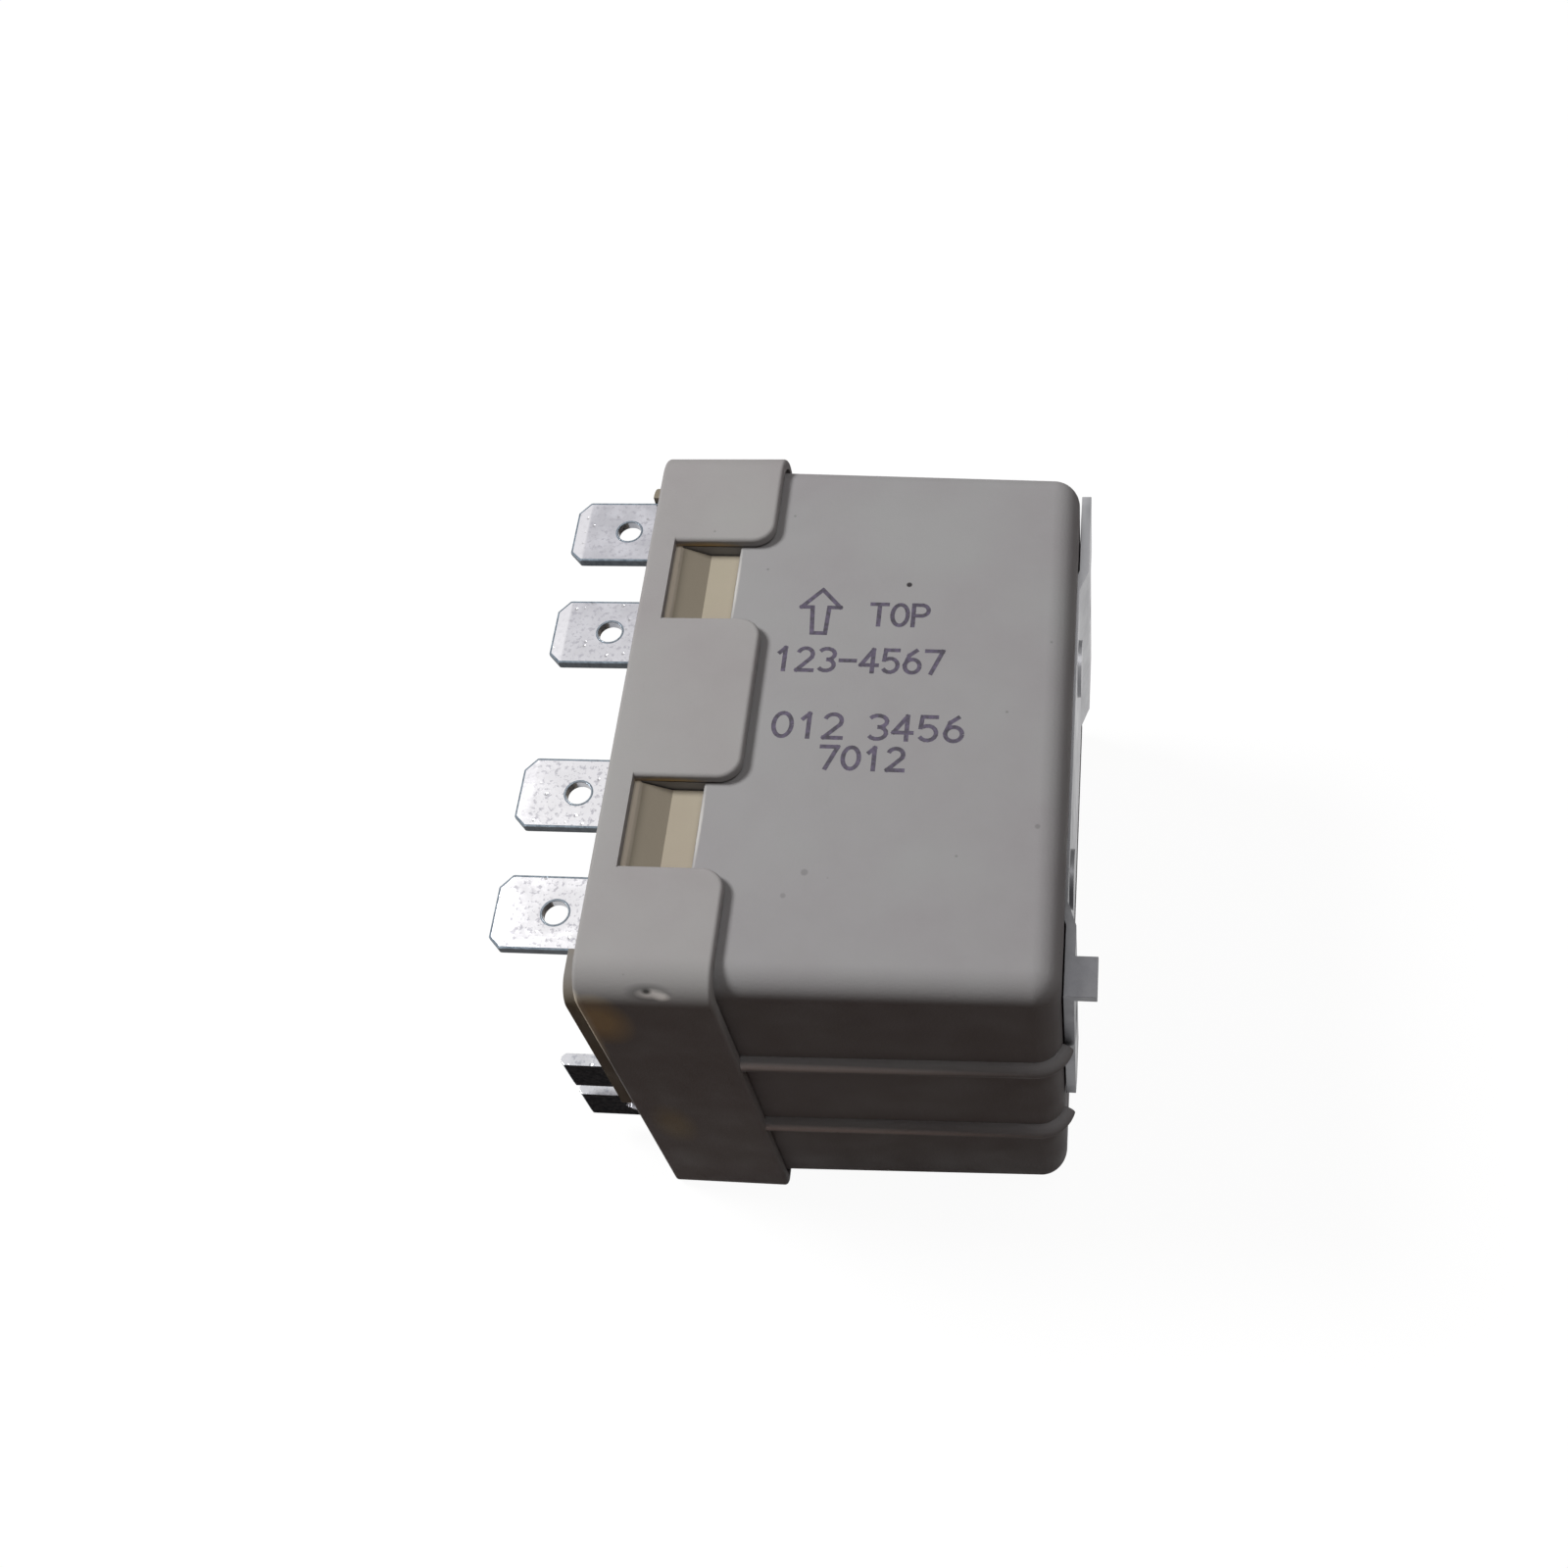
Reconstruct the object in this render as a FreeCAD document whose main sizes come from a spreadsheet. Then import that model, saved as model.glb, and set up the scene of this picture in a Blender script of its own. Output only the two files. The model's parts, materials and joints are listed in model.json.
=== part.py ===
"""Compressor start relay: a moulded potential relay with blade terminals and a rear mounting plate.

Frame: +X runs from the blade terminals to the mounting plate, +Y is the way the arrow on the big
face points, +Z is out of the big face. The origin is the bottom centre of the overall box.
Below, X is counted from the terminal end of the cover until each body is moved by the centring.
"""
import FreeCAD, Part
import math
import os
import Sketcher

NODES = []

doc = FreeCAD.newDocument("StartRelay")
sheet = doc.addObject("Spreadsheet::Sheet", "Sizes")


class Size:
    """A length that carries its spreadsheet formula along with its present value."""

    def __init__(self, value, formula):
        self.value = value
        self.formula = formula

    @staticmethod
    def of(other):
        return other if isinstance(other, Size) else Size(other, repr(other))

    def __add__(self, other):
        other = Size.of(other)
        return Size(self.value + other.value, f"({self.formula} + {other.formula})")

    def __radd__(self, other):
        return Size.of(other) + self

    def __sub__(self, other):
        other = Size.of(other)
        return Size(self.value - other.value, f"({self.formula} - {other.formula})")

    def __rsub__(self, other):
        return Size.of(other) - self

    def __mul__(self, other):
        other = Size.of(other)
        return Size(self.value * other.value, f"({self.formula} * {other.formula})")

    def __truediv__(self, divisor):
        divisor = Size.of(divisor)
        return Size(self.value / divisor.value, f"({self.formula} / {divisor.formula})")

    def __neg__(self):
        return Size(-self.value, f"(0 - {self.formula})")


def least(first, second):
    """The smaller of two lengths, in value and in formula."""
    return Size(min(first.value, second.value), f"min({first.formula}; {second.formula})")


def size(name, value):
    """Write one driving dimension into the sheet and return it."""
    row = size.row = getattr(size, "row", 0) + 1
    sheet.set(f"A{row}", name)
    sheet.set(f"B{row}", str(value))
    sheet.setAlias(f"B{row}", name)
    return Size(float(value), f"Sizes.{name}")


# Cover sleeve
cover_width = size("CoverWidth", 51.2)
cover_height = size("CoverHeight", 41.8)
cover_length = size("CoverLength", 10.4)
cover_rim = size("CoverRim", 2.1)
cover_round = size("CoverRound", 3.0)
cover_low_round = size("CoverLowRound", 1.0)
cover_step = size("CoverStep", 0.9)
cover_fit = size("CoverFit", 0.08)
cover_edge_round = size("CoverEdgeRound", 0.35)
window_inner = size("WindowInner", 7.5)
window_outer = size("WindowOuter", 15.3)
tongue_round = size("TongueRound", 1.8)

# Housing tub
housing_mouth = size("HousingMouth", 2.6)
housing_back = size("HousingBack", 35.3)
housing_wall = size("HousingWall", 2.2)
housing_draft = size("HousingDraft", 1.1)
housing_side_round = size("HousingSideRound", 2.3)
housing_low_round = size("HousingLowRound", 1.4)
housing_back_round = size("HousingBackRound", 2.2)
notch_length = size("NotchLength", 4.9)
notch_round = size("NotchRound", 0.3)
cut_over = size("CutOver", 1.0)
bead_radius = size("BeadRadius", 0.8)
bead_height = size("BeadHeight", 0.9)
bead_low = size("BeadLow", 14.3)
bead_pitch = size("BeadPitch", 13.0)
bead_turn = size("BeadTurn", 75.0)

# Terminal carrier
carrier_end = size("CarrierEnd", 0.4)
carrier_neck = size("CarrierNeck", 9.0)
carrier_plate = size("CarrierPlate", 4.6)
carrier_wall = size("CarrierWall", 1.7)
carrier_fit = size("CarrierFit", 0.1)
ramp_end = size("RampEnd", 4.9)
window_depth = size("WindowDepth", 1.1)
boss_height = size("BossHeight", 1.9)
boss_low = size("BossLow", 17.0)
boss_drop = size("BossDrop", 3.4)
boss_clear = size("BossClear", 0.1)
boss_round = size("BossRound", 2.0)
slot_fit = size("SlotFit", 0.03)

# Blade terminals
blade_width = size("BladeWidth", 6.3)
blade_thick = size("BladeThick", 0.8)
blade_reach = size("BladeReach", 8.16)
blade_depth = size("BladeDepth", 4.0)
blade_corner = size("BladeCorner", 1.0)
blade_bevel = size("BladeBevel", 1.2)
blade_bevel_depth = size("BladeBevelDepth", 0.22)
blade_hole = size("BladeHole", 2.0)
blade_hole_back = size("BladeHoleBack", 4.9)
blade_inside = size("BladeInside", 2.0)
row_centre = size("RowCentre", 0.9)
row_inset = size("RowInset", 7.2)
row_pitch = size("RowPitch", 10.6)
tail_width = size("TailWidth", 3.4)
tail_over = size("TailOver", 0.5)
low_blade_height = size("LowBladeHeight", 4.6)
low_blade_thick = size("LowBladeThick", 1.1)
low_blade_reach = size("LowBladeReach", 7.9)
low_blade_inset = size("LowBladeInset", 5.2)
low_blade_first = size("LowBladeFirst", 6.6)
low_blade_pitch = size("LowBladePitch", 6.7)
low_blade_chamfer = size("LowBladeChamfer", 0.35)
low_blade_inside = size("LowBladeInside", 9.3)

# Coil and iron
coil_front_clear = size("CoilFrontClear", 1.7)
coil_back_clear = size("CoilBackClear", 0.8)
coil_low_clear = size("CoilLowClear", 1.3)
yoke_clear = size("YokeClear", 1.1)
armature_room = size("ArmatureRoom", 18.3)
contact_room = size("ContactRoom", 10.2)
flange_thick = size("FlangeThick", 1.4)
tube_radius = size("TubeRadius", 4.6)
winding_inset = size("WindingInset", 1.6)
tape_thick = size("TapeThick", 0.25)
core_radius = size("CoreRadius", 3.5)
core_fit = size("CoreFit", 0.05)
pole_radius = size("PoleRadius", 5.0)
pole_thick = size("PoleThick", 1.0)
yoke_thick = size("YokeThick", 1.6)
yoke_margin = size("YokeMargin", 0.25)
yoke_seat = size("YokeSeat", 0.1)
ear_thick = size("EarThick", 1.4)
ear_height = size("EarHeight", 2.8)
ear_reach = size("EarReach", 4.1)
ear_gap = size("EarGap", 0.35)
arm_gap = size("ArmGap", 1.25)
pin_end = size("PinEnd", 0.4)
lug_foot_gap = size("LugFootGap", 0.3)

# Armature and contacts
air_gap = size("AirGap", 1.2)
armature_thick = size("ArmatureThick", 1.5)
armature_half = size("ArmatureHalf", 6.7)
armature_clear = size("ArmatureClear", 3.4)
pin_radius = size("PinRadius", 0.65)
pin_fit = size("PinFit", 0.05)
pin_rise = size("PinRise", 0.8)
knuckle_radius = size("KnuckleRadius", 1.7)
knuckle_length = size("KnuckleLength", 3.0)
leaf_half = size("LeafHalf", 2.6)
leaf_thick = size("LeafThick", 0.4)
leaf_inset = size("LeafInset", 3.0)
leaf_drop = size("LeafDrop", 2.4)
leaf_tip = size("LeafTip", 1.8)
contact_drop = size("ContactDrop", 4.3)
contact_radius = size("ContactRadius", 1.5)
contact_thick = size("ContactThick", 1.0)
contact_gap = size("ContactGap", 0.05)
leaf_rivet_radius = size("LeafRivetRadius", 0.9)
leaf_rivet_head = size("LeafRivetHead", 0.5)
leaf_rivet_inset = size("LeafRivetInset", 3.0)
leaf_rivet_pitch = size("LeafRivetPitch", 7.0)
post_half = size("PostHalf", 2.6)
post_drop = size("PostDrop", 6.1)
lead_radius = size("LeadRadius", 0.35)
lead_clear = size("LeadClear", 0.75)
lead_foot = size("LeadFoot", 0.56)
strap_thick = size("StrapThick", 0.5)
strap_width = size("StrapWidth", 1.8)
spring_radius = size("SpringRadius", 1.3)
spring_wire = size("SpringWire", 0.22)
spring_turns = size("SpringTurns", 7)
spring_rise = size("SpringRise", 3.6)
spring_length = size("SpringLength", 14.65)
lug_width = size("LugWidth", 3.0)
lug_thick = size("LugThick", 1.0)
lug_rise = size("LugRise", 2.0)
spring_end_gap = size("SpringEndGap", 0.05)

# Mounting plate
plate_thick = size("PlateThick", 0.8)
plate_proud = size("PlateProud", 0.2)
plate_drop = size("PlateDrop", 4.4)
plate_height = size("PlateHeight", 21.0)
plate_end_width = size("PlateEndWidth", 7.8)
plate_kick = size("PlateKick", 0.7)
plate_slant = size("PlateSlant", 2.0)
plate_near_inset = size("PlateNearInset", 2.4)
plate_far_inset = size("PlateFarInset", 0.3)
plate_cut = size("PlateCut", 2.2)
plate_fit = size("PlateFit", 0.05)
hook_width = size("HookWidth", 3.3)
hook_length = size("HookLength", 1.7)
plate_ear = size("PlateEar", 7.6)
screw_inset = size("ScrewInset", 2.8)
screw_drop = size("ScrewDrop", 10.5)
screw_radius = size("ScrewRadius", 1.65)
screw_room = size("ScrewRoom", 2.6)
screw_room_depth = size("ScrewRoomDepth", 1.4)
rivet_inset = size("RivetInset", 4.5)
rivet_drop = size("RivetDrop", 5.0)
rivet_radius = size("RivetRadius", 1.5)
rivet_head = size("RivetHead", 2.4)
rivet_head_thick = size("RivetHeadThick", 0.7)
rivet_face_thick = size("RivetFaceThick", 0.3)
rivet_fit = size("RivetFit", 0.05)

# Derived places, all of them formulas on the sizes above
middle_z = cover_height / 2
half_width = cover_width / 2
floor = cover_step + housing_wall
body_half = half_width - cover_step
body_top = cover_height - cover_step
inner_half = body_half - housing_wall
neck_half = inner_half - carrier_fit
neck_top = body_top - housing_wall - carrier_fit
notch_end = housing_mouth + notch_length
wall_inside = housing_back - housing_wall
blade_top = cover_height - blade_depth
row_outer = half_width - row_inset
row_inner = row_outer - row_pitch
flange_edge = body_half - cover_fit
row_places = [row_centre + row_outer, row_centre + row_inner, row_centre - row_inner, row_centre - row_outer]
low_blade_y = low_blade_inset - half_width
low_blade_places = [low_blade_first + low_blade_pitch, low_blade_first]
coil_right = inner_half - armature_room
coil_left = inner_half - yoke_clear - yoke_thick
flat_room = wall_inside - carrier_neck - coil_front_clear - coil_back_clear
tall_room = blade_top - contact_room - yoke_thick - coil_low_clear - floor
flange_radius = least(flat_room / 2, tall_room / 2)
winding_radius = flange_radius - winding_inset
coil_x = carrier_neck + coil_front_clear + flat_room / 2
coil_z = floor + coil_low_clear + flange_radius
yoke_front = coil_x - armature_half - ear_gap - ear_thick - yoke_margin
lead_x = yoke_front - lead_clear - lead_radius
tail_end = lead_x + tail_over
yoke_top = coil_z + flange_radius + yoke_thick
yoke_back = wall_inside - yoke_seat
pole_face = coil_right + pole_thick
armature_face = pole_face + air_gap
pin_y = armature_face + armature_thick / 2
pin_z = yoke_top + pin_rise
leaf_face = armature_face + armature_thick
post_face = leaf_face - contact_thick - contact_gap
lug_face = armature_face + (armature_thick - lug_thick) / 2
lug_back = spring_length - lug_face
armature_low = floor + armature_clear
leaf_low = armature_low + leaf_inset
leaf_top = blade_top - leaf_drop
contact_z = blade_top - contact_drop
post_low = blade_top - post_drop
spring_z = pin_z + spring_rise
spring_x = coil_x - armature_half + lug_width / 2
plate_outer = housing_back + plate_proud
plate_inner = plate_outer - plate_thick
kick_outer = plate_outer + plate_kick
kick_inner = kick_outer - plate_thick
overall_end = kick_outer + hook_length
plate_near_end = body_half - plate_near_inset
plate_far_end = body_half - plate_far_inset
plate_half = plate_near_end - plate_end_width
plate_top = body_top - plate_drop
plate_low = plate_top - plate_height
screw_place = plate_near_end - screw_inset
screw_height = plate_top - screw_drop
rivet_place = plate_half - rivet_inset
rivet_height = plate_top - rivet_drop
draft_sin = Size(math.sin(math.radians(housing_draft.value)), "sin(Sizes.HousingDraft * 1 deg)")
draft_cos = Size(math.cos(math.radians(housing_draft.value)), "cos(Sizes.HousingDraft * 1 deg)")
slope = Size(math.tan(math.radians(housing_draft.value)), "tan(Sizes.HousingDraft * 1 deg)")
arm_end = armature_face - arm_gap
centre_x = (overall_end - blade_reach) / 2


def bind(thing, prop, length):
    """Tie one property of a feature to a formula."""
    thing.setExpression(prop, Size.of(length).formula)


def move_in(thing, x=0.0, y=0.0, z=0.0):
    """Give a feature its place by formula."""
    for axis, length in (("x", x), ("y", y), ("z", z)):
        bind(thing, f"Placement.Base.{axis}", length)


def keep(thing, label, x=0.0):
    """Name a finished sub-part and move it, with its own place along X, into the centred frame."""
    thing.Label = label
    bind(thing, "Placement.Base.x", x - centre_x)
    NODES.append(thing)
    return thing


def new_body(label):
    body = doc.addObject("PartDesign::Body", label + "_body")
    return keep(body, label)


def new_sketch(body, role, height=0.0, shift_x=0.0, shift_y=0.0):
    """Sketch on one of the body's own origin planes, lifted along the plane's normal."""
    sketch = body.newObject("Sketcher::SketchObject", body.Label + "_sketch")
    plane = [item for item in body.Origin.OriginFeatures if item.Role == role][0]
    sketch.AttachmentSupport = (plane, [""])
    sketch.MapMode = "FlatFace"
    bind(sketch, "AttachmentOffset.Base.x", shift_x)
    bind(sketch, "AttachmentOffset.Base.y", shift_y)
    bind(sketch, "AttachmentOffset.Base.z", height)
    return sketch


def pin_point(sketch, geometry, point, place):
    """Fix one sketch point by its two distances from the sketch's origin."""
    for kind, length in zip(("DistanceX", "DistanceY"), place):
        length = Size.of(length)
        constraint = Sketcher.Constraint(kind, -1, 1, geometry, point, length.value)
        index = sketch.addConstraint(constraint)
        sketch.setExpression(f"Constraints[{index}]", length.formula)


def outline(sketch, corners):
    """Closed polygon through corners given as pairs of lengths."""
    flat = [FreeCAD.Vector(Size.of(a).value, Size.of(b).value, 0) for a, b in corners]
    first = sketch.GeometryCount
    count = len(flat)
    for index in range(count):
        sketch.addGeometry(Part.LineSegment(flat[index], flat[(index + 1) % count]))
    for index in range(count):
        following = first + (index + 1) % count
        sketch.addConstraint(Sketcher.Constraint("Coincident", first + index, 2, following, 1))
        pin_point(sketch, first + index, 1, corners[index])


def rectangle(sketch, low_a, high_a, low_b, high_b):
    outline(sketch, [(low_a, low_b), (high_a, low_b), (high_a, high_b), (low_a, high_b)])


def rounded_rectangle(sketch, low_a, high_a, low_b, high_b, low_round, high_round):
    """Rectangle with tangent corner arcs, one radius below and one above, each side pinned at both ends."""
    low_a, high_a, low_b, high_b = [Size.of(item) for item in (low_a, high_a, low_b, high_b)]
    sides = [((low_a + low_round, low_b), (high_a - low_round, low_b)),
             ((high_a, low_b + low_round), (high_a, high_b - high_round)),
             ((high_a - high_round, high_b), (low_a + high_round, high_b)),
             ((low_a, high_b - high_round), (low_a, low_b + low_round))]
    arcs = [(high_a - low_round, low_b + low_round, low_round),
            (high_a - high_round, high_b - high_round, high_round),
            (low_a + high_round, high_b - high_round, high_round),
            (low_a + low_round, low_b + low_round, low_round)]
    first = sketch.GeometryCount
    for begin, end in sides:
        sketch.addGeometry(Part.LineSegment(FreeCAD.Vector(begin[0].value, begin[1].value, 0),
                                            FreeCAD.Vector(end[0].value, end[1].value, 0)))
    for index, (centre_a, centre_b, radius) in enumerate(arcs):
        circle = Part.Circle(FreeCAD.Vector(centre_a.value, centre_b.value, 0), FreeCAD.Vector(0, 0, 1), radius.value)
        turn = (index - 1) * math.pi / 2
        sketch.addGeometry(Part.ArcOfCircle(circle, turn, turn + math.pi / 2))
    for index, (begin, end) in enumerate(sides):
        pin_point(sketch, first + index, 1, begin)
        pin_point(sketch, first + index, 2, end)
        arc = first + 4 + index
        sketch.addConstraint(Sketcher.Constraint("Tangent", first + index, 2, arc, 1))
        sketch.addConstraint(Sketcher.Constraint("Coincident", arc, 2, first + (index + 1) % 4, 1))


def window_outline(sketch, start, end, low, high, radius):
    """Slot open at its far end, whose mouth flares by two arcs that round the tongues beside it."""
    beyond = end + cut_over
    places = [(start, high), (start, low), (end - radius, low), (end, low - radius), (beyond, low - radius),
              (beyond, high + radius), (end, high + radius), (end - radius, high)]
    flat = [FreeCAD.Vector(a.value, b.value, 0) for a, b in places]
    first = sketch.GeometryCount
    lines = [(0, 1), (1, 2), (3, 4), (4, 5), (5, 6), (7, 0)]
    for begin, finish in lines:
        sketch.addGeometry(Part.LineSegment(flat[begin], flat[finish]))
    quarter = math.pi / 2
    for centre_b, turn in ((low - radius, 0.0), (high + radius, -quarter)):
        centre = FreeCAD.Vector((end - radius).value, centre_b.value, 0)
        circle = Part.Circle(centre, FreeCAD.Vector(0, 0, 1), Size.of(radius).value)
        sketch.addGeometry(Part.ArcOfCircle(circle, turn, turn + quarter))
    for index, (begin, finish) in enumerate(lines):
        pin_point(sketch, first + index, 1, places[begin])
        pin_point(sketch, first + index, 2, places[finish])
    low_arc = first + len(lines)
    high_arc = low_arc + 1
    sketch.addConstraint(Sketcher.Constraint("Tangent", first + 1, 2, low_arc, 2))
    sketch.addConstraint(Sketcher.Constraint("Coincident", low_arc, 1, first + 2, 1))
    sketch.addConstraint(Sketcher.Constraint("Tangent", first + 5, 1, high_arc, 1))
    sketch.addConstraint(Sketcher.Constraint("Coincident", high_arc, 2, first + 4, 2))


def ring(sketch, a, b, radius):
    """Circle with its centre and radius tied to formulas."""
    radius = Size.of(radius)
    centre = FreeCAD.Vector(Size.of(a).value, Size.of(b).value, 0)
    geometry = sketch.addGeometry(Part.Circle(centre, FreeCAD.Vector(0, 0, 1), radius.value))
    pin_point(sketch, geometry, 3, (a, b))
    index = sketch.addConstraint(Sketcher.Constraint("Radius", geometry, radius.value))
    sketch.setExpression(f"Constraints[{index}]", radius.formula)


def pad(body, sketch, length, symmetric=False, backwards=False):
    feature = body.newObject("PartDesign::Pad", body.Label + "_pad")
    feature.Profile = sketch
    bind(feature, "Length", length)
    if symmetric:
        feature.SideType = "Symmetric"
    feature.Reversed = backwards
    sketch.Visibility = False
    doc.recompute()
    return feature


def pocket(body, sketch, length, symmetric=False, backwards=False):
    """Cut a sketch out of the body and make sure that it removed something."""
    before = body.Shape.Volume
    feature = body.newObject("PartDesign::Pocket", body.Label + "_pocket")
    feature.Profile = sketch
    bind(feature, "Length", length)
    if symmetric:
        feature.SideType = "Symmetric"
    feature.Reversed = backwards
    sketch.Visibility = False
    doc.recompute()
    if body.Shape.Volume >= before:
        raise RuntimeError(f"{feature.Name} of {body.Label} cuts nothing")
    return feature


def drafted_block(body, kind, start, end, half, low, high):
    """Block or room along X whose four sides close in by the mould's draft from start to end."""
    close = (end - start) * slope
    feature = body.newObject(f"PartDesign::{kind}Wedge", body.Label + "_wedge")
    limits = {"Xmin": -half, "Xmax": half, "Ymin": start, "Ymax": end, "Zmin": low, "Zmax": high,
              "X2min": close - half, "X2max": half - close, "Z2min": low + close, "Z2max": high - close}
    for prop, length in limits.items():
        bind(feature, prop, length)
    feature.Placement.Rotation = FreeCAD.Rotation(FreeCAD.Vector(0, 0, 1), -90)
    doc.recompute()
    return feature


def revolve(body, sketch):
    """Turn a half profile round the sketch's horizontal axis."""
    feature = body.newObject("PartDesign::Revolution", body.Label + "_turned")
    feature.Profile = sketch
    feature.ReferenceAxis = (sketch, ["H_Axis"])
    feature.Angle = 360
    sketch.Visibility = False
    doc.recompute()
    return feature


def dress(body, kind, base, amount, chosen, second=None):
    """Round or bevel the edges of the base feature that the test picks."""
    names = [f"Edge{index + 1}" for index, edge in enumerate(base.Shape.Edges) if chosen(edge)]
    if not names:
        raise RuntimeError(f"{kind} of {body.Label} finds no edge")
    feature = body.newObject("PartDesign::" + kind, body.Label + "_" + kind.lower())
    feature.Base = (base, names)
    if second is not None:
        feature.ChamferType = "Two distances"
        bind(feature, "Size2", second)
    bind(feature, "Radius" if kind == "Fillet" else "Size", amount)
    doc.recompute()
    return feature


def near(a, b, slack=0.02):
    return abs(a - Size.of(b).value) < slack


def along(edge, axis):
    """True for an edge whose ends lie apart mostly along one axis (0, 1 or 2)."""
    if len(edge.Vertexes) < 2:
        return False
    run = edge.Vertexes[1].Point - edge.Vertexes[0].Point
    return abs(run[axis]) > 0.99 * edge.Length


def middle(edge):
    return edge.CenterOfMass


def flat_bounds(edge, axis, place):
    """True for an edge that lies wholly in the plane at one place on an axis."""
    box = edge.BoundBox
    low = (box.XMin, box.YMin, box.ZMin)[axis]
    high = (box.XMax, box.YMax, box.ZMax)[axis]
    return near(low, place) and near(high, place)


def rod(label, axis, radius, start, length, x=0.0, y=0.0, z=0.0):
    """Cylinder along one axis ('X', 'Y' or 'Z') that begins at start on that axis."""
    turned = doc.addObject("Part::Cylinder", label)
    bind(turned, "Radius", radius)
    bind(turned, "Height", length)
    turns = {"X": ((0, 1, 0), 90), "Y": ((1, 0, 0), -90), "Z": ((0, 0, 1), 0)}
    direction, angle = turns[axis]
    turned.Placement.Rotation = FreeCAD.Rotation(FreeCAD.Vector(*direction), angle)
    place = {"X": x, "Y": y, "Z": z}
    place[axis] = start
    move_in(turned, place["X"], place["Y"], place["Z"])
    return turned


def fuse(label, parts):
    joined = doc.addObject("Part::MultiFuse", label)
    joined.Shapes = parts
    return joined


def make_housing():
    """Drafted tub with notches at its mouth, beads round its sides and seats for plate and rivets."""
    body = new_body("housing")
    block = drafted_block(body, "Additive", housing_mouth, housing_back, body_half, cover_step, body_top)
    upper = dress(body, "Fillet", block, housing_side_round,
                  lambda edge: along(edge, 0) and middle(edge).z > middle_z.value)
    lower = dress(body, "Fillet", upper, housing_low_round,
                  lambda edge: along(edge, 0) and middle(edge).z < cover_step.value + housing_low_round.value)
    dress(body, "Fillet", lower, housing_back_round, lambda edge: flat_bounds(edge, 0, housing_back))
    drafted_block(body, "Subtractive", housing_mouth, wall_inside, inner_half, floor, body_top - housing_wall)

    notches = new_sketch(body, "XY_Plane", middle_z)
    for side in (-1, 1):
        near_edge, far_edge = sorted((window_inner * side, window_outer * side), key=lambda s: s.value)
        rectangle(notches, housing_mouth - cut_over, notch_end, near_edge, far_edge)
    opened = pocket(body, notches, cover_height + cut_over * 2, symmetric=True)
    outer_reach = (body_top - middle_z - housing_wall / 2).value
    dress(body, "Fillet", opened, notch_round,
          lambda edge: flat_bounds(edge, 0, notch_end) and along(edge, 1)
          and abs(middle(edge).z - middle_z.value) > outer_reach)

    seat = new_sketch(body, "YZ_Plane", housing_back)
    seat_half = plate_half + plate_slant + plate_fit
    rectangle(seat, -seat_half, seat_half, plate_low - plate_fit, plate_top + plate_fit)
    pocket(body, seat, plate_thick - plate_proud)

    holes = new_sketch(body, "YZ_Plane", housing_back)
    for side in (-1, 1):
        ring(holes, rivet_place * side, rivet_height, rivet_radius + rivet_fit)
    pocket(body, holes, housing_wall + cut_over)
    rooms = new_sketch(body, "YZ_Plane", housing_back)
    for side in (-1, 1):
        ring(rooms, screw_place * side, screw_height, screw_room)
    pocket(body, rooms, screw_room_depth)
    make_beads(body)
    return body


def make_beads(body):
    """Rounded beads on both side walls, each along the drafted wall and round the back corner."""
    lift = bead_height - bead_radius
    corner_x = housing_back - housing_back_round
    corner_y = body_half - (corner_x - housing_mouth) * slope - housing_back_round / draft_cos
    turn_radius = housing_back_round + lift
    start_y = body_half - (cover_length - housing_mouth) * slope + lift / draft_cos
    length = (corner_x + turn_radius * draft_sin - cover_length) / draft_cos
    for index in range(2):
        height = Size.of(bead_low + bead_pitch * index)
        for side in (-1, 1):
            straight = body.newObject("PartDesign::AdditiveCylinder", f"bead_{index}_{side + 1}")
            bind(straight, "Radius", bead_radius)
            bind(straight, "Height", length)
            turn_axis = f"create(<<vector>>; {(draft_sin * side).formula}; {draft_cos.formula}; 0)"
            foot = f"create(<<vector>>; {cover_length.formula}; {(start_y * side).formula}; {height.formula})"
            straight.setExpression("Placement", f"create(<<placement>>; {foot}; "
                                   f"create(<<rotation>>; {turn_axis}; 90))")
            corner = body.newObject("PartDesign::AdditiveTorus", f"bead_corner_{index}_{side + 1}")
            bind(corner, "Radius1", turn_radius)
            bind(corner, "Radius2", bead_radius)
            bind(corner, "Angle3", bead_turn)
            begin = housing_draft - 90.0 if side < 0 else 90.0 - housing_draft - bead_turn
            corner.Placement.Rotation = FreeCAD.Rotation(FreeCAD.Vector(0, 0, 1), begin.value)
            corner.setExpression("Placement.Rotation.Angle", f"{begin.formula} * 1 deg")
            move_in(corner, corner_x, corner_y * side, height)
            doc.recompute()


def make_cover():
    """Sleeve round the housing's mouth, cut into three tongues on the big face and on the underside."""
    body = new_body("terminal_cover")
    wall = cover_step - cover_fit
    face = new_sketch(body, "YZ_Plane")
    rounded_rectangle(face, -half_width, half_width, 0.0, cover_height, cover_low_round, cover_round)
    pad(body, face, cover_length)
    hole = new_sketch(body, "YZ_Plane")
    rounded_rectangle(hole, wall - half_width, half_width - wall, wall, cover_height - wall,
                      cover_low_round - wall, cover_round - wall)
    pocket(body, hole, cover_length, backwards=True)
    windows = new_sketch(body, "XY_Plane", middle_z)
    window_outline(windows, cover_rim, cover_length, window_inner, window_outer, tongue_round)
    window_outline(windows, cover_rim, cover_length, -window_outer, -window_inner, tongue_round)
    opened = pocket(body, windows, cover_height + cut_over * 2, symmetric=True)

    def on_outside(edge):
        spot = middle(edge)
        return (near(abs(spot.y), half_width) or near(abs(spot.z - middle_z.value), middle_z)) and (
            flat_bounds(edge, 0, 0.0) or flat_bounds(edge, 0, cover_length))

    dress(body, "Fillet", opened, cover_edge_round, on_outside)
    return body


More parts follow.
